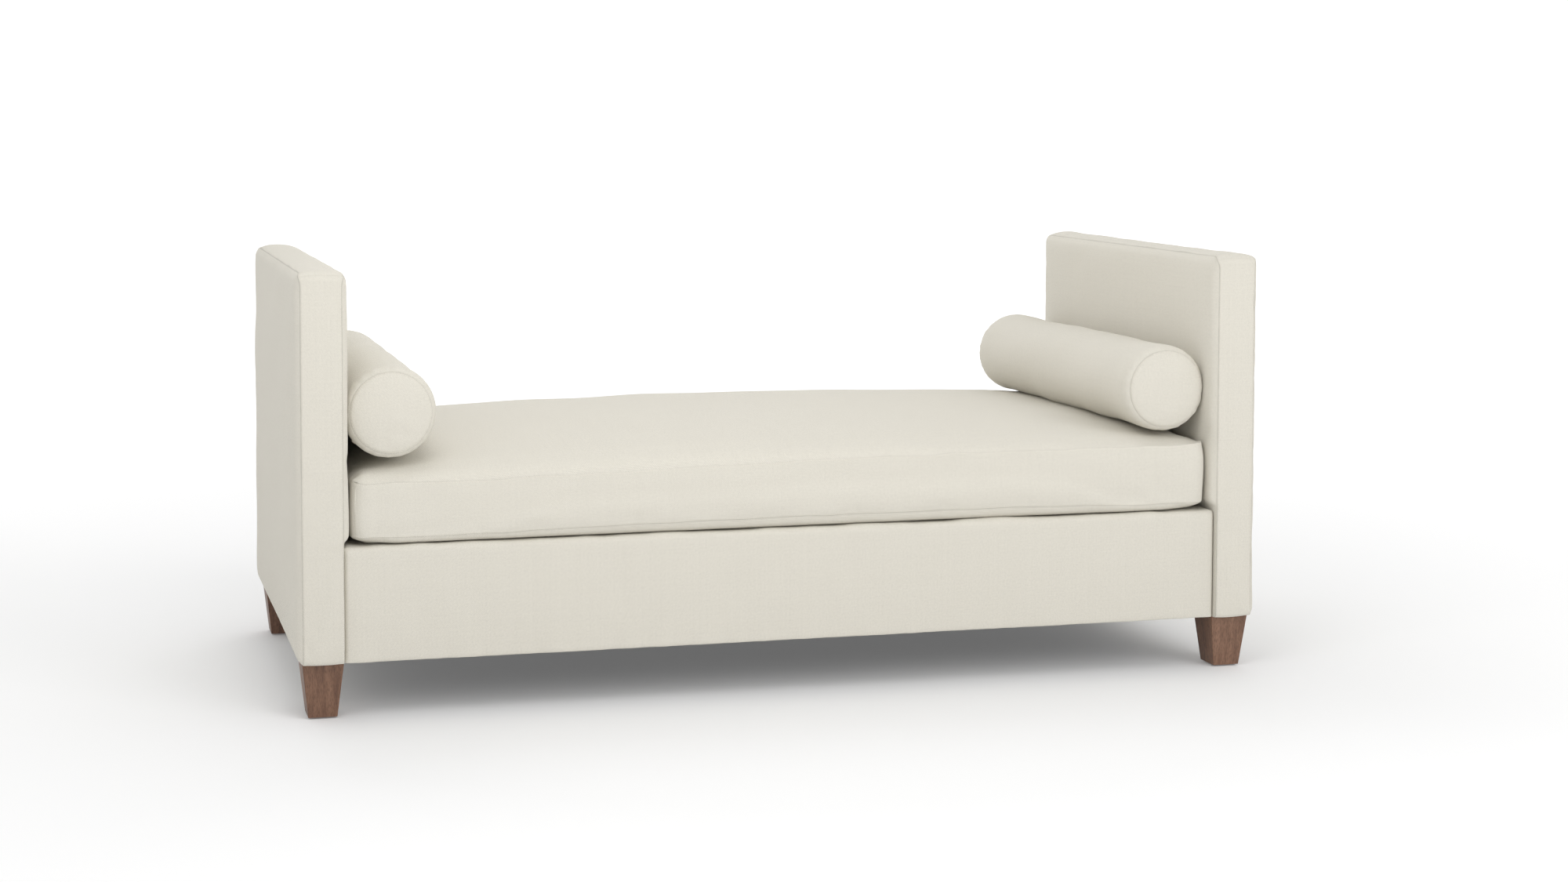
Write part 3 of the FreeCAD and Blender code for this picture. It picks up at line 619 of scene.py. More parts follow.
# ---- Seat cushion
def build_seat():
    lo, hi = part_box("seat_cushion_cover")
    half_x, half_y = (hi.x - lo.x) / 2 - 1.5 * MM, (hi.y - lo.y) / 2 - 4 * MM
    bottom, top = lo.z, hi.z
    boxing, corner = 0.112, 30 * MM
    rear_low, rear_high = 0.3605, 0.486
    foam_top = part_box("seat_cushion_foam")[1].z

    def seam_height(x, y, upper):
        """The two seams wander a little up and down along the front and back."""
        s = x / half_x
        if upper:
            front, level = 0.4665 + 0.0195 * smooth(s, -0.95, 0.35), rear_high
        else:
            front = 0.3565 + 0.011 * np.sin((s + 0.9) * 1.45) - 0.004 * bump_at(s, 0.92, 0.2)
            level = rear_low
        front = front + 0.0009 * Waves(11 if upper else 12, 0.12)(x + 3 * y, y)
        return front + (level - front) * smooth(y, -0.3, 0.3)

    def reach(x, y):
        """Distance in from the outline, with the corners eased."""
        return soft_min(half_x - np.abs(x), half_y - np.abs(y), 12 * MM)

    def top_height(x, y):
        d = np.maximum(reach(x, y), 0) / MM
        scale = 17 + 13 * smooth(np.abs(x), half_x - 0.16, half_x - 0.02)
        rise = 1 - 0.15 * np.exp(-d / 5) - 0.85 * np.exp(-((d / scale) ** 1.05))
        dome = top - 0.4 * MM - x**2 / np.where(x < 0, 30, 38) - y**2 / np.where(y < 0, 7, 16)
        z = seam_height(x, y, True) + (dome - seam_height(x, y, True)) * rise
        clear = 2.5 * MM * np.logaddexp(0, (foam_top + 2 * MM - z) / (2.5 * MM))
        return z + clear * smooth(d, 8, 21)

    u = np.linspace(-half_x, half_x, round(2 * half_x / SIM_STEP) + 1)
    v = np.linspace(-half_y, half_y, round(2 * half_y / SIM_STEP) + 1)
    x, y = corner_map(*np.meshgrid(u, v, indexing="ij"), half_x, half_y, corner)
    top_panel = Panel(np.stack([x, y, top_height(x, y)], -1), u, v)

    outline = border_of(np.stack([x, y], -1))
    run = border_lengths(u, v)
    upper = seam_height(outline[:, 0], outline[:, 1], True)
    lower = seam_height(outline[:, 0], outline[:, 1], False)
    out = outward_of(outline)
    w = np.linspace(0, boxing, 11)
    t = w / boxing
    belly = 4.5 * MM * (4 * t * (1 - t)) ** 0.8
    side = np.empty((len(outline), len(w), 3))
    side[:, :, :2] = outline[:, None] + out[:, None] * belly[None, :, None]
    side[:, :, 2] = lower[:, None] + (upper - lower)[:, None] * t
    side_panel = Panel(side, run, w, closed=True)

    depth_in = np.array([0, 6, 13, 22, 34, 48, 66, 90]) * MM
    under = np.empty((len(outline), len(depth_in), 3))
    under[:, :, :2] = outline[:, None] - out[:, None] * depth_in[None, :, None]
    at_end = smooth(np.abs(outline[:, 0]), half_x - 0.1, half_x - 0.01)[:, None]
    drop = 1 - np.exp(-((depth_in / MM / (9 + 15 * at_end)) ** 1.15))
    under[:, :, 2] = lower[:, None] - (lower[:, None] - bottom - 0.3 * MM) * drop / drop[:, -1:]
    under_panel = Panel(under, run, depth_in, closed=True, flip=True)

    panels = [top_panel, side_panel, under_panel]
    pins = [np.full(p.points.shape[:2], firm) for p, firm in zip(panels, (0.012, 0.02, 0.5))]
    gathers = grids_like(panels, 0)
    pins[2][:, -1] = 1
    pins[1][outline[:, 1] > half_y - 1 * MM] = 0.8
    gathers[1][:, 0] = gathers[1][:, -1] = 1
    relax(panels, 1.2, pins, gathers, steps=18, cap=4 * MM)

    u_fine = spaced(2 * half_x, PLAIN_NEAR, FINE_STEP) - half_x
    v_fine = spaced(2 * half_y, PLAIN_NEAR, FINE_STEP) - half_y
    run_fine = border_lengths(u_fine, v_fine)
    zip_lo, zip_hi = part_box("seat_cushion_zip")
    zip_z, zip_half = (zip_lo.z + zip_hi.z) / 2, (zip_hi.z - zip_lo.z) / 2
    folds = np.array([-1.4, -0.5, 0.3, 1.1, 2.2, 4.5]) * MM
    fold_z = np.concatenate([zip_z - zip_half - folds, zip_z + zip_half + folds])
    fold_w = (fold_z - rear_low) / (rear_high - rear_low) * boxing
    w_fine = [x for x in spaced(boxing, SEAM_NEAR, FINE_STEP) if np.abs(fold_w - x).min() > 1.5 * MM]
    w_fine = np.sort(np.concatenate([w_fine, fold_w]))
    top_fine = top_panel.finer(u_fine, v_fine)
    side_fine = side_panel.finer(run_fine, w_fine)
    under_near = np.array([0, 0.8, 1.7, 3, 5, 8, 12, 17, 24, 34, 46, 60, 75, 90]) * MM
    under_fine = under_panel.finer(run_fine, under_near)
    side_fine.points[:, -1] = border_of(top_fine.points)
    under_fine.points[:, 0] = side_fine.points[:, 0]

    uu, vv, d_top, along = edge_grid(u_fine, v_fine, half_x, half_y)
    top_fine.lift = seam_lift(d_top, along, 21, False, 0.5)
    top_fine.lift += 0.0011 * Waves(22, 0.28)(uu, vv) * smooth(d_top, 0, 0.08)
    rr, ww = np.meshgrid(run_fine, w_fine, indexing="ij")
    side_fine.lift = seam_lift(ww, rr, 23, True, 0.7) + seam_lift(boxing - ww, rr, 24, True, 0.5)
    side_fine.lift += 0.0009 * Waves(25, 0.16)(rr, ww) * smooth(np.minimum(ww, boxing - ww), 0, 0.03)
    rr, dd = np.meshgrid(run_fine, under_near, indexing="ij")
    under_fine.lift = seam_lift(dd, rr, 26, False, 0.7)
    # The painted seam shade is stronger near the cushion's ends, most of all at the left end.
    seam_shade_weight = 0.35 + 0.65 * bump_at(uu, -half_x, 0.35) + 0.3 * bump_at(uu, half_x, 0.2)
    top_fine.seam_shade = 0.45 * seam_shade_weight * seam_shade_at(d_top, False)
    seam_shade_weight = 0.35 + 0.65 * bump_at(side_fine.points[..., 0], -half_x, 0.35)
    side_fine.seam_shade = 0.5 * seam_shade_at(ww, True) + 0.45 * seam_shade_weight * seam_shade_at(boxing - ww, True)
    under_fine.seam_shade = 0.5 * seam_shade_at(dd, False)
    put_border(top_fine.lift, side_fine.lift[:, -1])
    under_fine.lift[:, 0] = side_fine.lift[:, 0]
    at = side_fine.points
    beyond = np.abs(at[..., 2] - zip_z) - zip_half
    band = smooth(at[..., 1], half_y - 6 * MM, half_y - 2 * MM)
    band *= 1 - smooth(np.abs(at[..., 0]), zip_hi.x, zip_hi.x + 9 * MM)
    band *= 1 - smooth(beyond, 4 * MM, 26 * MM)
    folded = half_y + 1.6 * MM + 3.1 * MM * smooth(beyond, -0.6 * MM, 0.4 * MM)
    at[..., 1] += band * (folded - at[..., 1])
    side_fine.lift *= 1 - band
    cover = sewn("seat_cushion_cover_cloth", [top_fine, side_fine, under_fine], capped=2)
    keep_above(cover, bottom + 0.1 * MM)
    rows = stitched_rows(side_fine, boxing)
    back = [0.0, 1, 0]
    along_zip = np.linspace(zip_lo.x + 6 * MM, zip_hi.x - 6 * MM, 60)

    def zip_line(y, z):
        return np.stack([along_zip, np.full(60, y), np.full(60, z)], -1)

    teeth = zip_teeth("seat_cushion_zip_teeth", zip_line(zip_hi.y + 0.1 * MM, zip_z), back)
    for level in (zip_z - zip_half - 3 * MM, zip_z + zip_half + 3 * MM):
        rows.append((zip_line(half_y + 4.75 * MM, level), np.tile(back, (60, 1)), False))
    return cover, stitching("seat_cushion_topstitching", rows), teeth


# ---- Arms
def build_arm(side):
    lo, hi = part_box(side + "_arm_cover")
    outer_seam, inner_seam = 1.015, 0.932
    half_y, bottom, top = hi.y, lo.z, hi.z + 1.5 * MM
    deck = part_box("base_front_cover")[1].z
    half_z, mid_z = (top - bottom) / 2, (top + bottom) / 2
    seed = 100 if side == "right" else 200

    def outline_map(p, q):
        """Rounds the corners: upper front, upper back, lower front and lower back."""
        corners = [corner_map(p, q, half_y, half_z, radius * MM) for radius in (23, 26, 9, 20)]
        pick = np.where(q > 0, 0, 2) + np.where(p < 0, 0, 1)
        a, b = (np.choose(pick, [corner[k] for corner in corners]) for k in (0, 1))
        return np.where(a > 0, a * 1.01, a), b

    u = np.linspace(-half_y, half_y, round(2 * half_y / SIM_STEP) + 1)
    v = np.linspace(-half_z, half_z, round(2 * half_z / SIM_STEP) + 1)
    y, z = outline_map(*np.meshgrid(u, v, indexing="ij"))
    d = soft_min(half_y - np.abs(y), half_z - np.abs(z), 10 * MM)
    d = np.maximum(d, 0) / MM
    rise = 1 - np.exp(-((d / 8.5) ** 0.9))
    outer_x = outer_seam + 10.5 * MM * rise + 6.5 * MM * smooth(d, 0, 160)
    above = smooth(z + mid_z, deck - 2 * MM, deck + 26 * MM)
    inner_x = inner_seam - 11.5 * MM * rise * above + 0.6 * MM
    outer = Panel(np.stack([outer_x, y, z + mid_z], -1), u, v)
    inner = Panel(np.stack([inner_x, y, z + mid_z], -1), u, v, flip=True)

    outline = border_of(np.stack([y, z], -1))
    run = border_lengths(u, v)
    out = outward_of(outline)
    width = outer_seam - inner_seam
    w = np.linspace(0, width, 8)
    t = w / width
    backward, upward = np.clip(out, 0, 1).T
    soft = 2.2 + upward * (3.5 + 2.5 * smooth(outline[:, 0], -half_y, half_y)) + 2.5 * backward
    belly = soft[:, None] * MM * (4 * t * (1 - t))[None] ** 0.65 - 0.8 * MM
    strip = np.empty((len(outline), len(w), 3))
    strip[:, :, 0] = inner_seam + (inner_x[0, 0] - inner_seam) * (1 - t) + w
    strip[:, :, 1:] = outline[:, None] + out[:, None] * belly[:, :, None]
    strip[:, :, 2] += mid_z
    strip[:, 0, 1:] = strip[:, -1, 1:] = outline + [0, mid_z]
    strip_panel = Panel(strip, run, w, closed=True)
    strip[:, 0, 0] = border_of(inner_x[..., None])[:, 0]
    strip[:, -1, 0] = border_of(outer_x[..., None])[:, 0]

    panels = [outer, inner, strip_panel]
    pins, gathers = grids_like(panels, 0.03), grids_like(panels, 0)
    pins[1][z + mid_z < deck + 6 * MM] = 1
    pins[2][outline[:, 1] < -half_z + 1 * MM] = 1
    gathers[2][:, 0] = gathers[2][:, -1] = 1
    relax(panels, 1.0, pins, gathers, steps=14, cap=2.5 * MM)

    u_fine = spaced(2 * half_y, PLAIN_NEAR, FINE_STEP) - half_y
    v_fine = spaced(2 * half_z, PLAIN_NEAR, FINE_STEP) - half_z
    run_fine = border_lengths(u_fine, v_fine)
    w_fine = spaced(width, SEAM_NEAR, FINE_STEP)
    outer_fine, inner_fine = outer.finer(u_fine, v_fine), inner.finer(u_fine, v_fine)
    strip_fine = strip_panel.finer(run_fine, w_fine)
    strip_fine.points[:, 0] = border_of(inner_fine.points)
    strip_fine.points[:, -1] = border_of(outer_fine.points)

    uu, vv, d, along = edge_grid(u_fine, v_fine, half_y, half_z)
    slack = smooth(vv + mid_z, deck, deck + 0.03)
    broad = smooth(d, 0, 0.06)
    outer_fine.lift = seam_lift(d, along, seed + 1, False, 0.6)
    outer_fine.lift += 0.0012 * Waves(seed + 2, 0.3)(uu, vv) * broad
    inner_fine.lift = seam_lift(d, along, seed + 3, False, 0.7) * slack
    inner_fine.lift += 0.0009 * Waves(seed + 4, 0.3)(uu, vv) * broad * slack
    rr, ww = np.meshgrid(run_fine, w_fine, indexing="ij")
    strip_fine.lift = seam_lift(ww, rr, seed + 5, True, 0.7)
    strip_fine.lift += seam_lift(width - ww, rr, seed + 6, True, 0.6)
    strip_fine.lift += 0.0004 * Waves(seed + 7, 0.12)(rr, ww)
    # A faint joint crosses the strip at its upper front corner: a shallow dip with a little painted shade
    # in it.
    joint = bump_at(rr, 4 * half_y + 2 * half_z + 1.7 * MM, 1.2 * MM)
    strip_fine.lift -= 0.5 * MM * joint
    strip_fine.seam_shade = seam_shade_at(ww, True) + seam_shade_at(width - ww, True) + 0.25 * joint
    outer_fine.seam_shade, inner_fine.seam_shade = seam_shade_at(d, False), seam_shade_at(d, False)
    put_border(inner_fine.lift, strip_fine.lift[:, 0])
    put_border(outer_fine.lift, strip_fine.lift[:, -1])
    panels = [outer_fine, inner_fine, strip_fine]
    if side == "left":
        for p in panels:
            p.points[..., 0] *= -1
            p.flip = not p.flip
    cover = sewn(side + "_arm_cover_cloth", panels)
    return cover, stitching(side + "_arm_topstitching", stitched_rows(strip_fine, width))


# ---- Bolsters
def build_bolster(side):
    lo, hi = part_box(side + "_bolster_cover")
    centre = (lo + hi) / 2
    half, radius = (hi.y - lo.y) / 2, (hi.x - lo.x) / 2
    seam_radius, seam_y = 82 * MM, half - 1.5 * MM
    seed = 300 if side == "right" else 400
    full_turn, length = 2 * math.pi, 2 * seam_y
    around = np.arange(0, 64) * full_turn / 64
    w = np.linspace(0, length, round(length / (9 * MM)) + 1)
    from_end = np.minimum(w, length - w) / MM
    swell = 1 - np.exp(-((from_end / 9) ** 1.25))
    waist = 2.2 * MM * smooth(from_end, 25, 100) - 1.4 * MM * smooth(from_end, 110, 260)
    profile = seam_radius + (radius + 0.6 * MM - seam_radius) * swell - waist
    tube = np.empty((len(around), len(w), 3))
    tube[..., 0] = np.cos(around)[:, None] * profile
    tube[..., 1] = w - seam_y
    tube[..., 2] = np.sin(around)[:, None] * profile
    tube_panel = Panel(tube, around * radius, w, closed=True, flip=True)

    rings = seam_radius * np.array([1, 0.9, 0.8, 0.69, 0.57, 0.44, 0.3, 0.15, 0])
    dome = 10 * MM * (1 - (rings / seam_radius) ** 2.2)

    def cap_panel(sign):
        cap = np.empty((len(around), len(rings), 3))
        cap[..., 0] = np.cos(around)[:, None] * rings
        cap[..., 1] = sign * (seam_y + dome)
        cap[..., 2] = np.sin(around)[:, None] * rings
        return Panel(cap, around * radius, seam_radius - rings, closed=True, flip=sign > 0)

    caps = [cap_panel(-1), cap_panel(1)]
    panels = [tube_panel, *caps]
    pins, gathers = grids_like(panels, 0.02), grids_like(panels, 0)
    gathers[0][:, [0, -1]] = 1
    relax(panels, 1.5, pins, gathers, steps=14, cap=1.6 * MM, bending=4.0, gather=0.03)

    zip_lo, zip_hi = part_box(side + "_bolster_zip")
    zip_at = math.radians(315 if side == "right" else 225)
    folds = np.array([4.6, 5.5, 6.1, 6.8, 7.8, 10, 14]) * MM / radius
    folds = zip_at + np.concatenate([-folds, folds])
    even = np.arange(0, 144) * full_turn / 144
    around_fine = np.array([x for x in even if np.abs(folds - x).min() > 0.012])
    around_fine = np.sort(np.concatenate([around_fine, folds]))
    run_fine = around_fine * radius
    w_fine = spaced(length, PLAIN_NEAR, 6 * MM)
    cap_fine_run = np.concatenate([SEAM_NEAR, np.array([36, 46, 58, 70, 77, 82]) * MM])
    tube_fine = tube_panel.finer(run_fine, w_fine)
    cap_fine = [c.finer(run_fine, cap_fine_run) for c in caps]
    cap_fine[0].points[:, 0], cap_fine[1].points[:, 0] = tube_fine.points[:, 0], tube_fine.points[:, -1]
    for c in cap_fine:
        c.points[:, -1] = c.points[:, -1].mean(0)
        c.uv = (c.points[..., 0].copy(), c.points[..., 2].copy())

    rr, ww = np.meshgrid(run_fine, w_fine, indexing="ij")
    end = np.minimum(ww, length - ww)
    gather = Waves(seed + 1, 0.017)(rr, np.sign(ww - seam_y) * 4)
    tube_fine.lift = seam_lift(end, rr, seed + 2, False, 0.9)
    tube_fine.lift += 0.00035 * gather * smooth(end, 0, 0.004) * (1 - smooth(end, 0.008, 0.035))
    tube_fine.lift += 0.0009 * Waves(seed + 3, 0.16)(rr, ww) * smooth(end, 0.01, 0.08)
    tube_fine.seam_shade = 0.6 * seam_shade_at(end, False)
    for k, c in enumerate(cap_fine):
        rr, dd = np.meshgrid(run_fine, cap_fine_run, indexing="ij")
        c.lift = seam_lift(dd, rr, seed + 4 + k, True, 0.9) * (1 - smooth(dd, 0.05, 0.08))
        dimples = Waves(seed + 8 + k, 0.05)(c.points[..., 0], c.points[..., 2])
        c.lift += 0.0005 * dimples * smooth(dd, 0.005, 0.03)
        c.lift[:, -1] = c.lift[:, -1].mean()
        c.seam_shade = 0.6 * seam_shade_at(dd, True)
    cap_fine[0].lift[:, 0], cap_fine[1].lift[:, 0] = tube_fine.lift[:, 0], tube_fine.lift[:, -1]

    # The bolster lies a little askew, and is pressed flat on the arm and on the seat.
    panels = [tube_fine, *cap_fine]
    outward, limit = (1, hi.x) if side == "right" else (-1, -lo.x)
    askew, give = math.radians(0.5), 2 * MM
    for p in panels:
        x = outward * (centre.x + p.points[..., 0] * 1.02 - outward * askew * p.points[..., 1])
        p.points[..., 0] = outward * (limit - give * np.logaddexp(0, (limit - x) / give))
        p.points[..., 1] += centre.y
        above = p.points[..., 2] * 1.01 + centre.z + 2 * MM - lo.z
        p.points[..., 2] = lo.z + give * np.logaddexp(0, above / give)
    at = tube_fine.points
    dx, dz = at[..., 0] - centre.x, at[..., 2] - centre.z
    off = np.abs(around_fine - zip_at)[:, None] * radius
    band = 1 - smooth(np.abs(at[..., 1] - centre.y), zip_hi.y, zip_hi.y + 9 * MM)
    band = band * (1 - smooth(off, 9 * MM, 34 * MM))
    now = np.hypot(dx, dz)
    folded = radius - 2.6 * MM + 2.9 * MM * smooth(off, 5.3 * MM, 6.3 * MM)
    scale = 1 + band * (folded - now) / now
    at[..., 0], at[..., 2] = centre.x + dx * scale, centre.z + dz * scale
    tube_fine.lift *= 1 - band
    cover = sewn(side + "_bolster_cover_cloth", panels)
    keep_above(cover, lo.z + 0.5 * MM)
    row = int(np.argmin(abs(cap_fine_run - STITCH_AT)))
    rows = [(c.points[:, row], c.normals[:, row], True) for c in cap_fine]
    stitches = stitching(side + "_bolster_topstitching", rows)
    at = np.linspace(zip_lo.y + 6 * MM, zip_hi.y - 6 * MM, 40)
    away = np.array([math.cos(zip_at), 0, math.sin(zip_at)])
    line = np.array(centre) + away * (radius + 1.1 * MM) + np.stack([0 * at, at - centre.y, 0 * at], -1)
    return cover, stitches, zip_teeth(side + "_bolster_zip_teeth", line, away)


# ---- Base
def build_base(side):
    """The face cloth of the front or back of the base: over the top edge, down the face and under."""
    lo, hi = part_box("base_front_cover")
    front, top, bottom, half_x = -lo.y, hi.z, lo.z, hi.x
    radius, lip, heel_radius, hem, quarter = 12 * MM, 60 * MM, 3 * MM, 18 * MM, math.pi / 2
    drop = top - bottom - radius - heel_radius
    _, top_end, bend_end, face_end = np.cumsum([0, lip - radius, radius * quarter, drop])
    total = face_end + heel_radius * quarter + hem
    stages = [(0, top_end, 7), (top_end, bend_end, 7), (bend_end, face_end, 30)]
    v = [np.linspace(a, b, count + 1)[:-1] for a, b, count in stages]
    v = np.concatenate([*v, np.linspace(face_end, total, 10)])
    u = spaced(2 * half_x, [d * MM for d in (0, 1, 2, 3.5, 5.5, 8, 11, 15, 21)], 9 * MM) - half_x
    s = v[None, :] * np.ones((len(u), 1))
    bend = np.clip((s - top_end) / radius, 0, quarter)
    down = np.clip(s - bend_end, 0, face_end - bend_end)
    heel = np.clip((s - face_end) / heel_radius, 0, quarter)
    under = np.clip(s - face_end - heel_radius * quarter, 0, None)
    y = front - lip + np.clip(s, 0, top_end) + radius * np.sin(bend)
    y = y - heel_radius * (1 - np.cos(heel)) - under
    z = top - radius * (1 - np.cos(bend)) - down - heel_radius * np.sin(heel)
    x = np.broadcast_to(u[:, None], s.shape).copy()
    end = half_x - np.abs(x)
    face = smooth(s, top_end, bend_end)
    round_in = 9 * MM
    inward = 1 - np.clip(end / round_in, 0, 1)
    turn_in = round_in * (1 - np.sqrt(np.clip(1 - inward**2, 0, 1)))
    seed, sign = (500, -1) if side == "front" else (600, 1)
    relief = 0.0007 * Waves(seed, 0.22)(x, s * 0.6) + 0.00035 * Waves(seed + 1, 0.06)(x, s * 0.4)
    pull = 0.0006 * Waves(seed + 2, 0.045)(x, 0) * smooth(s, face_end - 0.05, face_end)
    y = y - turn_in * face + (relief + pull) * face * smooth(end, 0, 0.03)
    z = z - turn_in * 0.5 * (1 - face) + relief * (1 - face) - 0.0006 * smooth(face, 0, 1)
    panel = Panel(np.stack([x, sign * y, z], -1), u, v, flip=sign > 0)
    return sewn("base_%s_cover_cloth" % side, [panel])


# ---- Sheets
def build_deck():
    """The deck cloth, stretched over its pad and sewn to the base covers, with a row along its sides."""
    lo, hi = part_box("deck_cloth")
    u = spaced(hi.x - lo.x, SEAM_NEAR, 14 * MM) + lo.x
    v = spaced(hi.y - lo.y, SEAM_NEAR, 14 * MM) + lo.y
    x, y = np.meshgrid(u, v, indexing="ij")
    edge = np.minimum(hi.y - np.abs(y), hi.x - np.abs(x))
    hollow = 1.2 * MM * bump_at(edge, 0, 6 * MM)
    hollow += 0.5 * MM * (1 - Waves(700, 0.11)(x, y)) * smooth(edge, 0, 0.06)
    panel = Panel(np.stack([x, y, hi.z - 0.2 * MM - hollow], -1), u, v)
    panel.lift = seam_lift(hi.y - np.abs(y), x, 701, True, 0.5)
    panel.seam_shade = 0.6 * seam_shade_at(hi.y - np.abs(y), True)
    deck = sewn("deck_cloth_sheet", [panel])
    rows = [k for k in range(len(v)) if abs(hi.y - abs(v[k]) - STITCH_AT) < 0.1 * MM]
    stitches = stitching("deck_stitching", [(panel.points[:, k], panel.normals[:, k], False) for k in rows])
    return deck, stitches, (hi.x - lo.x, hi.y - lo.y)


def build_dust_cover():
    """Black cloth stapled under the base, sagging a little between its staples."""
    lo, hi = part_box("dust_cover")
    u = spaced(hi.x - lo.x, PLAIN_NEAR, 16 * MM) + lo.x
    v = spaced(hi.y - lo.y, PLAIN_NEAR, 16 * MM) + lo.y
    x, y = np.meshgrid(u, v, indexing="ij")
    edge = np.minimum(hi.y - np.abs(y), hi.x - np.abs(x))
    sag = 1.4 * MM * smooth(edge, 0, 0.12) + 0.45 * MM * Waves(710, 0.09)(x, y) * smooth(edge, 0.01, 0.05)
    panel = Panel(np.stack([x, y, lo.z + 0.3 * MM - sag], -1), u, v, flip=True)
    cloth = sewn("dust_cover_sheet", [panel])
    a, b, z = hi.x - 12 * MM, hi.y - 12 * MM, lo.z
    ring = np.array([(-a, -b, z), (a, -b, z), (a, b, z), (-a, b, z)])
    downward = np.tile([0.0, 0, -1], (4, 1))
    staples = stitching("dust_cover_staples", [(ring, downward, True, 55 * MM, 11 * MM, 0.6 * MM)])
    return cloth, staples, (hi.x - lo.x, hi.y - lo.y)


# ---- Build
ZIP_COIL = grained("zip_coil", (0.86, 0.82, 0.73), (0.74, 0.70, 0.61), 300, 0.4, 0.0, 0.1)
seat, seat_stitches, seat_teeth = build_seat()
finish_piece(seat_teeth, "seat_cushion", ZIP_COIL)
finish_piece(seat, "seat_cushion", CREAM, ("seat_cushion_cover", "seat_cushion_wrap"))
finish_piece(seat_stitches, "seat_cushion", THREAD)
for side in ("left", "right"):
    arm, stitches = build_arm(side)
    finish_piece(arm, "frame", CREAM, (side + "_arm_cover", side + "_arm_padding"))
    finish_piece(stitches, "frame", THREAD)
    bolster, stitches, teeth = build_bolster(side)
    body = side + "_bolster"
    finish_piece(teeth, body, ZIP_COIL)
    finish_piece(bolster, body, CREAM, (body + "_cover", body + "_fill"))
    finish_piece(stitches, body, THREAD)
for side in ("front", "rear"):
    name = "base_" + side
    hidden = (name + "_cover", name + "_padding")
    finish_piece(build_base(side), "frame", CREAM, hidden)

LOOKS = {
    "walnut": WALNUT,
    "glide_plastic": grained("glide_plastic_look", (0.06, 0.055, 0.05), (0.04, 0.036, 0.033), 500, 0.5),
    "zinc_steel": grained("zinc_look", (0.62, 0.63, 0.64), (0.5, 0.51, 0.52), 300, 0.32, 1.0, 0.1),
    "frame_timber": grained(
        "timber_look", (0.66, 0.49, 0.30), (0.48, 0.33, 0.19), 60, 0.7, stretch=(0.1, 1, 1)
    ),
    "hardboard": grained("hardboard_look", (0.42, 0.29, 0.18), (0.32, 0.21, 0.12), 700, 0.75),
    "foam": grained("foam_look", (0.88, 0.83, 0.64), (0.74, 0.68, 0.48), 900, 0.95, 0.0, 0.8),
    "fibre": grained("fibre_look", (0.9, 0.9, 0.88), (0.78, 0.78, 0.76), 120, 0.95, 0.0, 0.8),
    "deck_fabric": grained("deck_look", (0.70, 0.67, 0.60), (0.55, 0.52, 0.46), 800, 0.9),
    "black_cloth": grained("black_cloth_look", (0.03, 0.03, 0.032), (0.012, 0.012, 0.013), 700, 0.9),
    "zip_tape": grained("zip_tape_look", (0.78, 0.75, 0.68), (0.62, 0.59, 0.52), 900, 0.8),
    "zip_metal": grained("zip_metal_look", (0.50, 0.46, 0.38), (0.38, 0.34, 0.28), 400, 0.35, 1.0, 0.1),
    "cream_fabric": CREAM,
}
DECK = woven("deck_twill", (0.72, 0.69, 0.61), (0.50, 0.475, 0.41), 1.8 * MM)
deck, deck_stitches, cut = build_deck()
finish_piece(deck, "frame", DECK, ("deck_cloth", "deck_pad"))
finish_piece(deck_stitches, "frame", THREAD)
dust, staples, cut = build_dust_cover()
finish_piece(dust, "frame", LOOKS["black_cloth"], ("dust_cover",))
finish_piece(staples, "frame", LOOKS["zinc_steel"])
slot_of = {s["node"]: s["material_slot"] for s in frame["record"]["subparts"]}
for name, node in frame["nodes"].items():
    for k in range(len(node.material_slots)):
        node.material_slots[k].material = LOOKS[slot_of[name]]

# ---- Studio
floor_mesh = bpy.data.meshes.new("floor")
floor_mesh.from_pydata([(-30, -30, 0), (30, -30, 0), (30, 30, 0), (-30, 30, 0)], [], [(0, 1, 2, 3)])
floor = bpy.data.objects.new("floor", floor_mesh)
bpy.context.scene.collection.objects.link(floor)
paper, nodes, links, shader = material("studio_floor")
put(shader, Base_Color=(0.8, 0.8, 0.8, 1), Emission_Strength=1, Roughness=0.9)
# The floor glows, faintly near the daybed and more strongly further out: painted light that lightens the
# floor's shadow and whitens the far floor.
far = nodes.new("ShaderNodeTexCoord")
reach = nodes.new("ShaderNodeVectorMath")
reach.operation = "LENGTH"
links.new(far.outputs["Object"], reach.inputs[0])
spread = Maths(nodes, links)("DIVIDE", reach.outputs["Value"], 8)
glow = ramp(nodes, links, spread, [(0.15, (0.1, 0.1, 0.1)), (0.7, (0.5, 0.5, 0.5))])
links.new(glow, shader.inputs["Emission Color"])
floor_mesh.materials.append(paper)

world = bpy.data.worlds.new("studio")
bpy.context.scene.world = world
world.use_nodes = True
sky = world.node_tree.nodes["Background"]
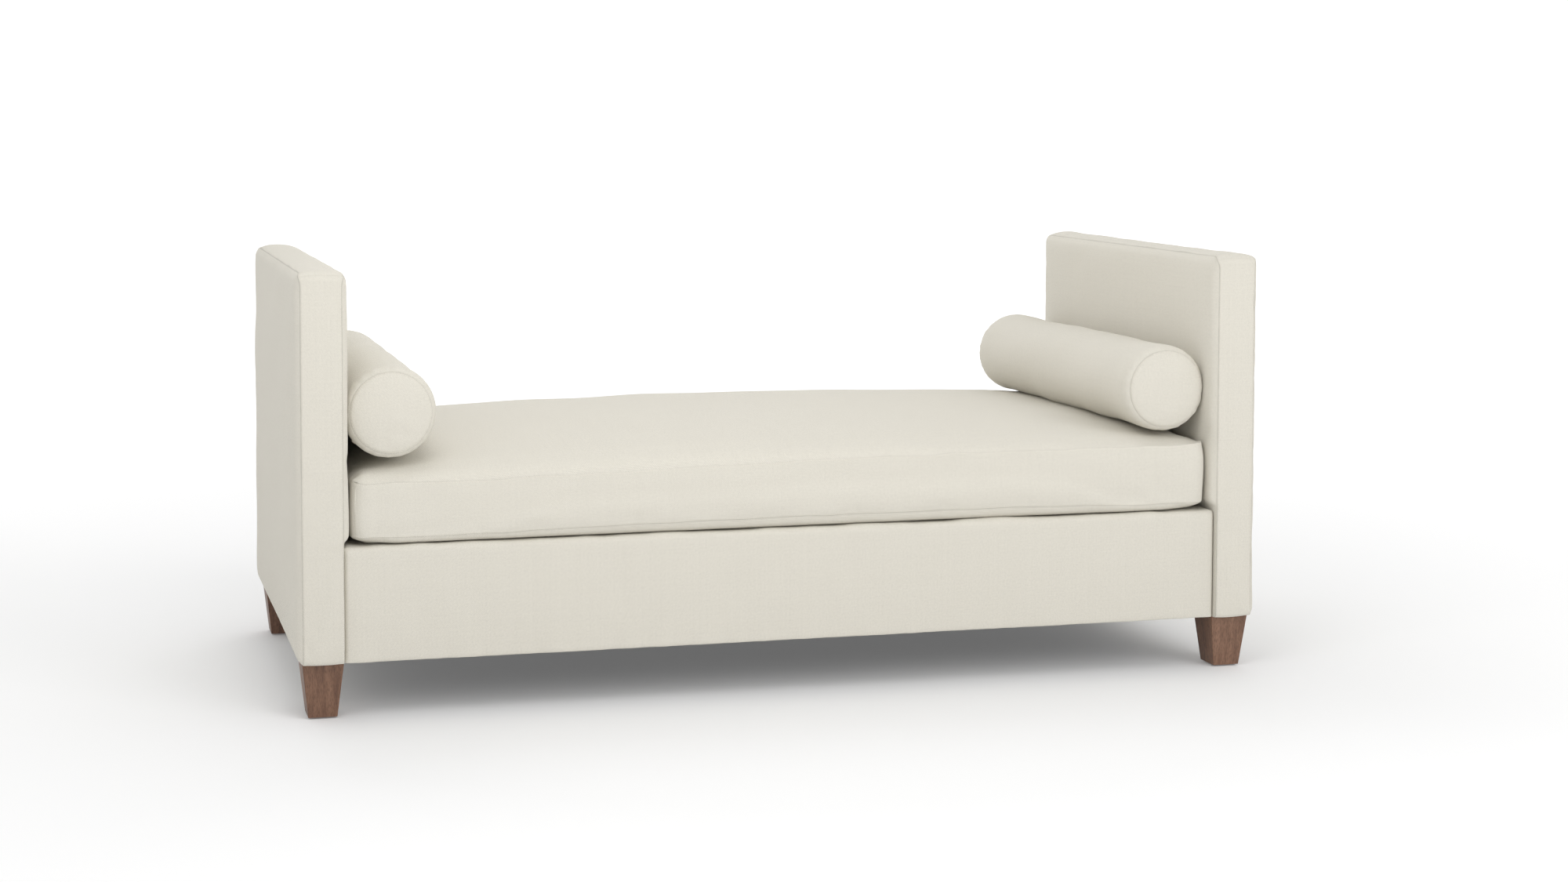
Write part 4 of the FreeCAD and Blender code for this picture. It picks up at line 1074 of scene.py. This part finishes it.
# The wall behind the daybed is the brightest part of the room.
room, links = world.node_tree.nodes, world.node_tree.links
facing = room.new("ShaderNodeTexCoord")
parts = room.new("ShaderNodeSeparateXYZ")
links.new(facing.outputs["Generated"], parts.inputs[0])
stops = [(0.45, (0.62, 0.62, 0.62)), (0.8, (1, 1, 1))]
links.new(ramp(room, links, parts.outputs["Y"], stops), sky.inputs["Color"])
put(sky, Strength=1.2)


def area_light(name, place, aim, size, power):
    data = bpy.data.lights.new(name, "AREA")
    data.shape = "RECTANGLE"
    data.size, data.size_y = size
    data.energy = power
    obj = bpy.data.objects.new(name, data)
    bpy.context.scene.collection.objects.link(obj)
    obj.location = place
    obj.rotation_euler = (Vector(aim) - Vector(place)).to_track_quat("-Z", "Y").to_euler()


area_light("key", (2.8, -4.6, 3.0), (0, 0, 0.4), (3.0, 2.2), 68)
area_light("left_fill", (-0.75, -1.6, 2.3), (0.9, 0, 0.4), (1.2, 1.2), 13)
area_light("low_fill", (-0.8, -4.2, 0.5), (0.7, 0, 0.55), (1.6, 0.8), 2.5)
area_light("back", (-0.3, 1.8, 3.2), (0.3, 0, 0.3), (2.5, 1.5), 16)

CAMERA_PLACE = (-1.4996, -4.9604, 1.211)
YAW, PITCH, ROLL = 12.213, 3.199, -0.179  # degrees

camera_data = bpy.data.cameras.new("camera")
camera_data.lens, camera_data.sensor_width = 53.713, 36
camera_data.shift_x, camera_data.shift_y = 0.15, -0.13125
camera = bpy.data.objects.new("camera", camera_data)
bpy.context.scene.collection.objects.link(camera)
yaw, pitch, roll = math.radians(YAW), math.radians(PITCH), math.radians(ROLL)
ahead = Vector((math.sin(yaw) * math.cos(pitch), math.cos(yaw) * math.cos(pitch), -math.sin(pitch)))
across = Vector((math.cos(yaw), -math.sin(yaw), 0))
upward = across.cross(ahead)
across, upward = (
    math.cos(roll) * across + math.sin(roll) * upward,
    -math.sin(roll) * across + math.cos(roll) * upward,
)
turn = Matrix((across, upward, -ahead)).transposed()
camera.matrix_world = Matrix.Translation(CAMERA_PLACE) @ turn.to_4x4()
bpy.context.scene.camera = camera
bpy.context.scene.view_settings.view_transform = "Standard"
bpy.context.scene.view_settings.look = "None"
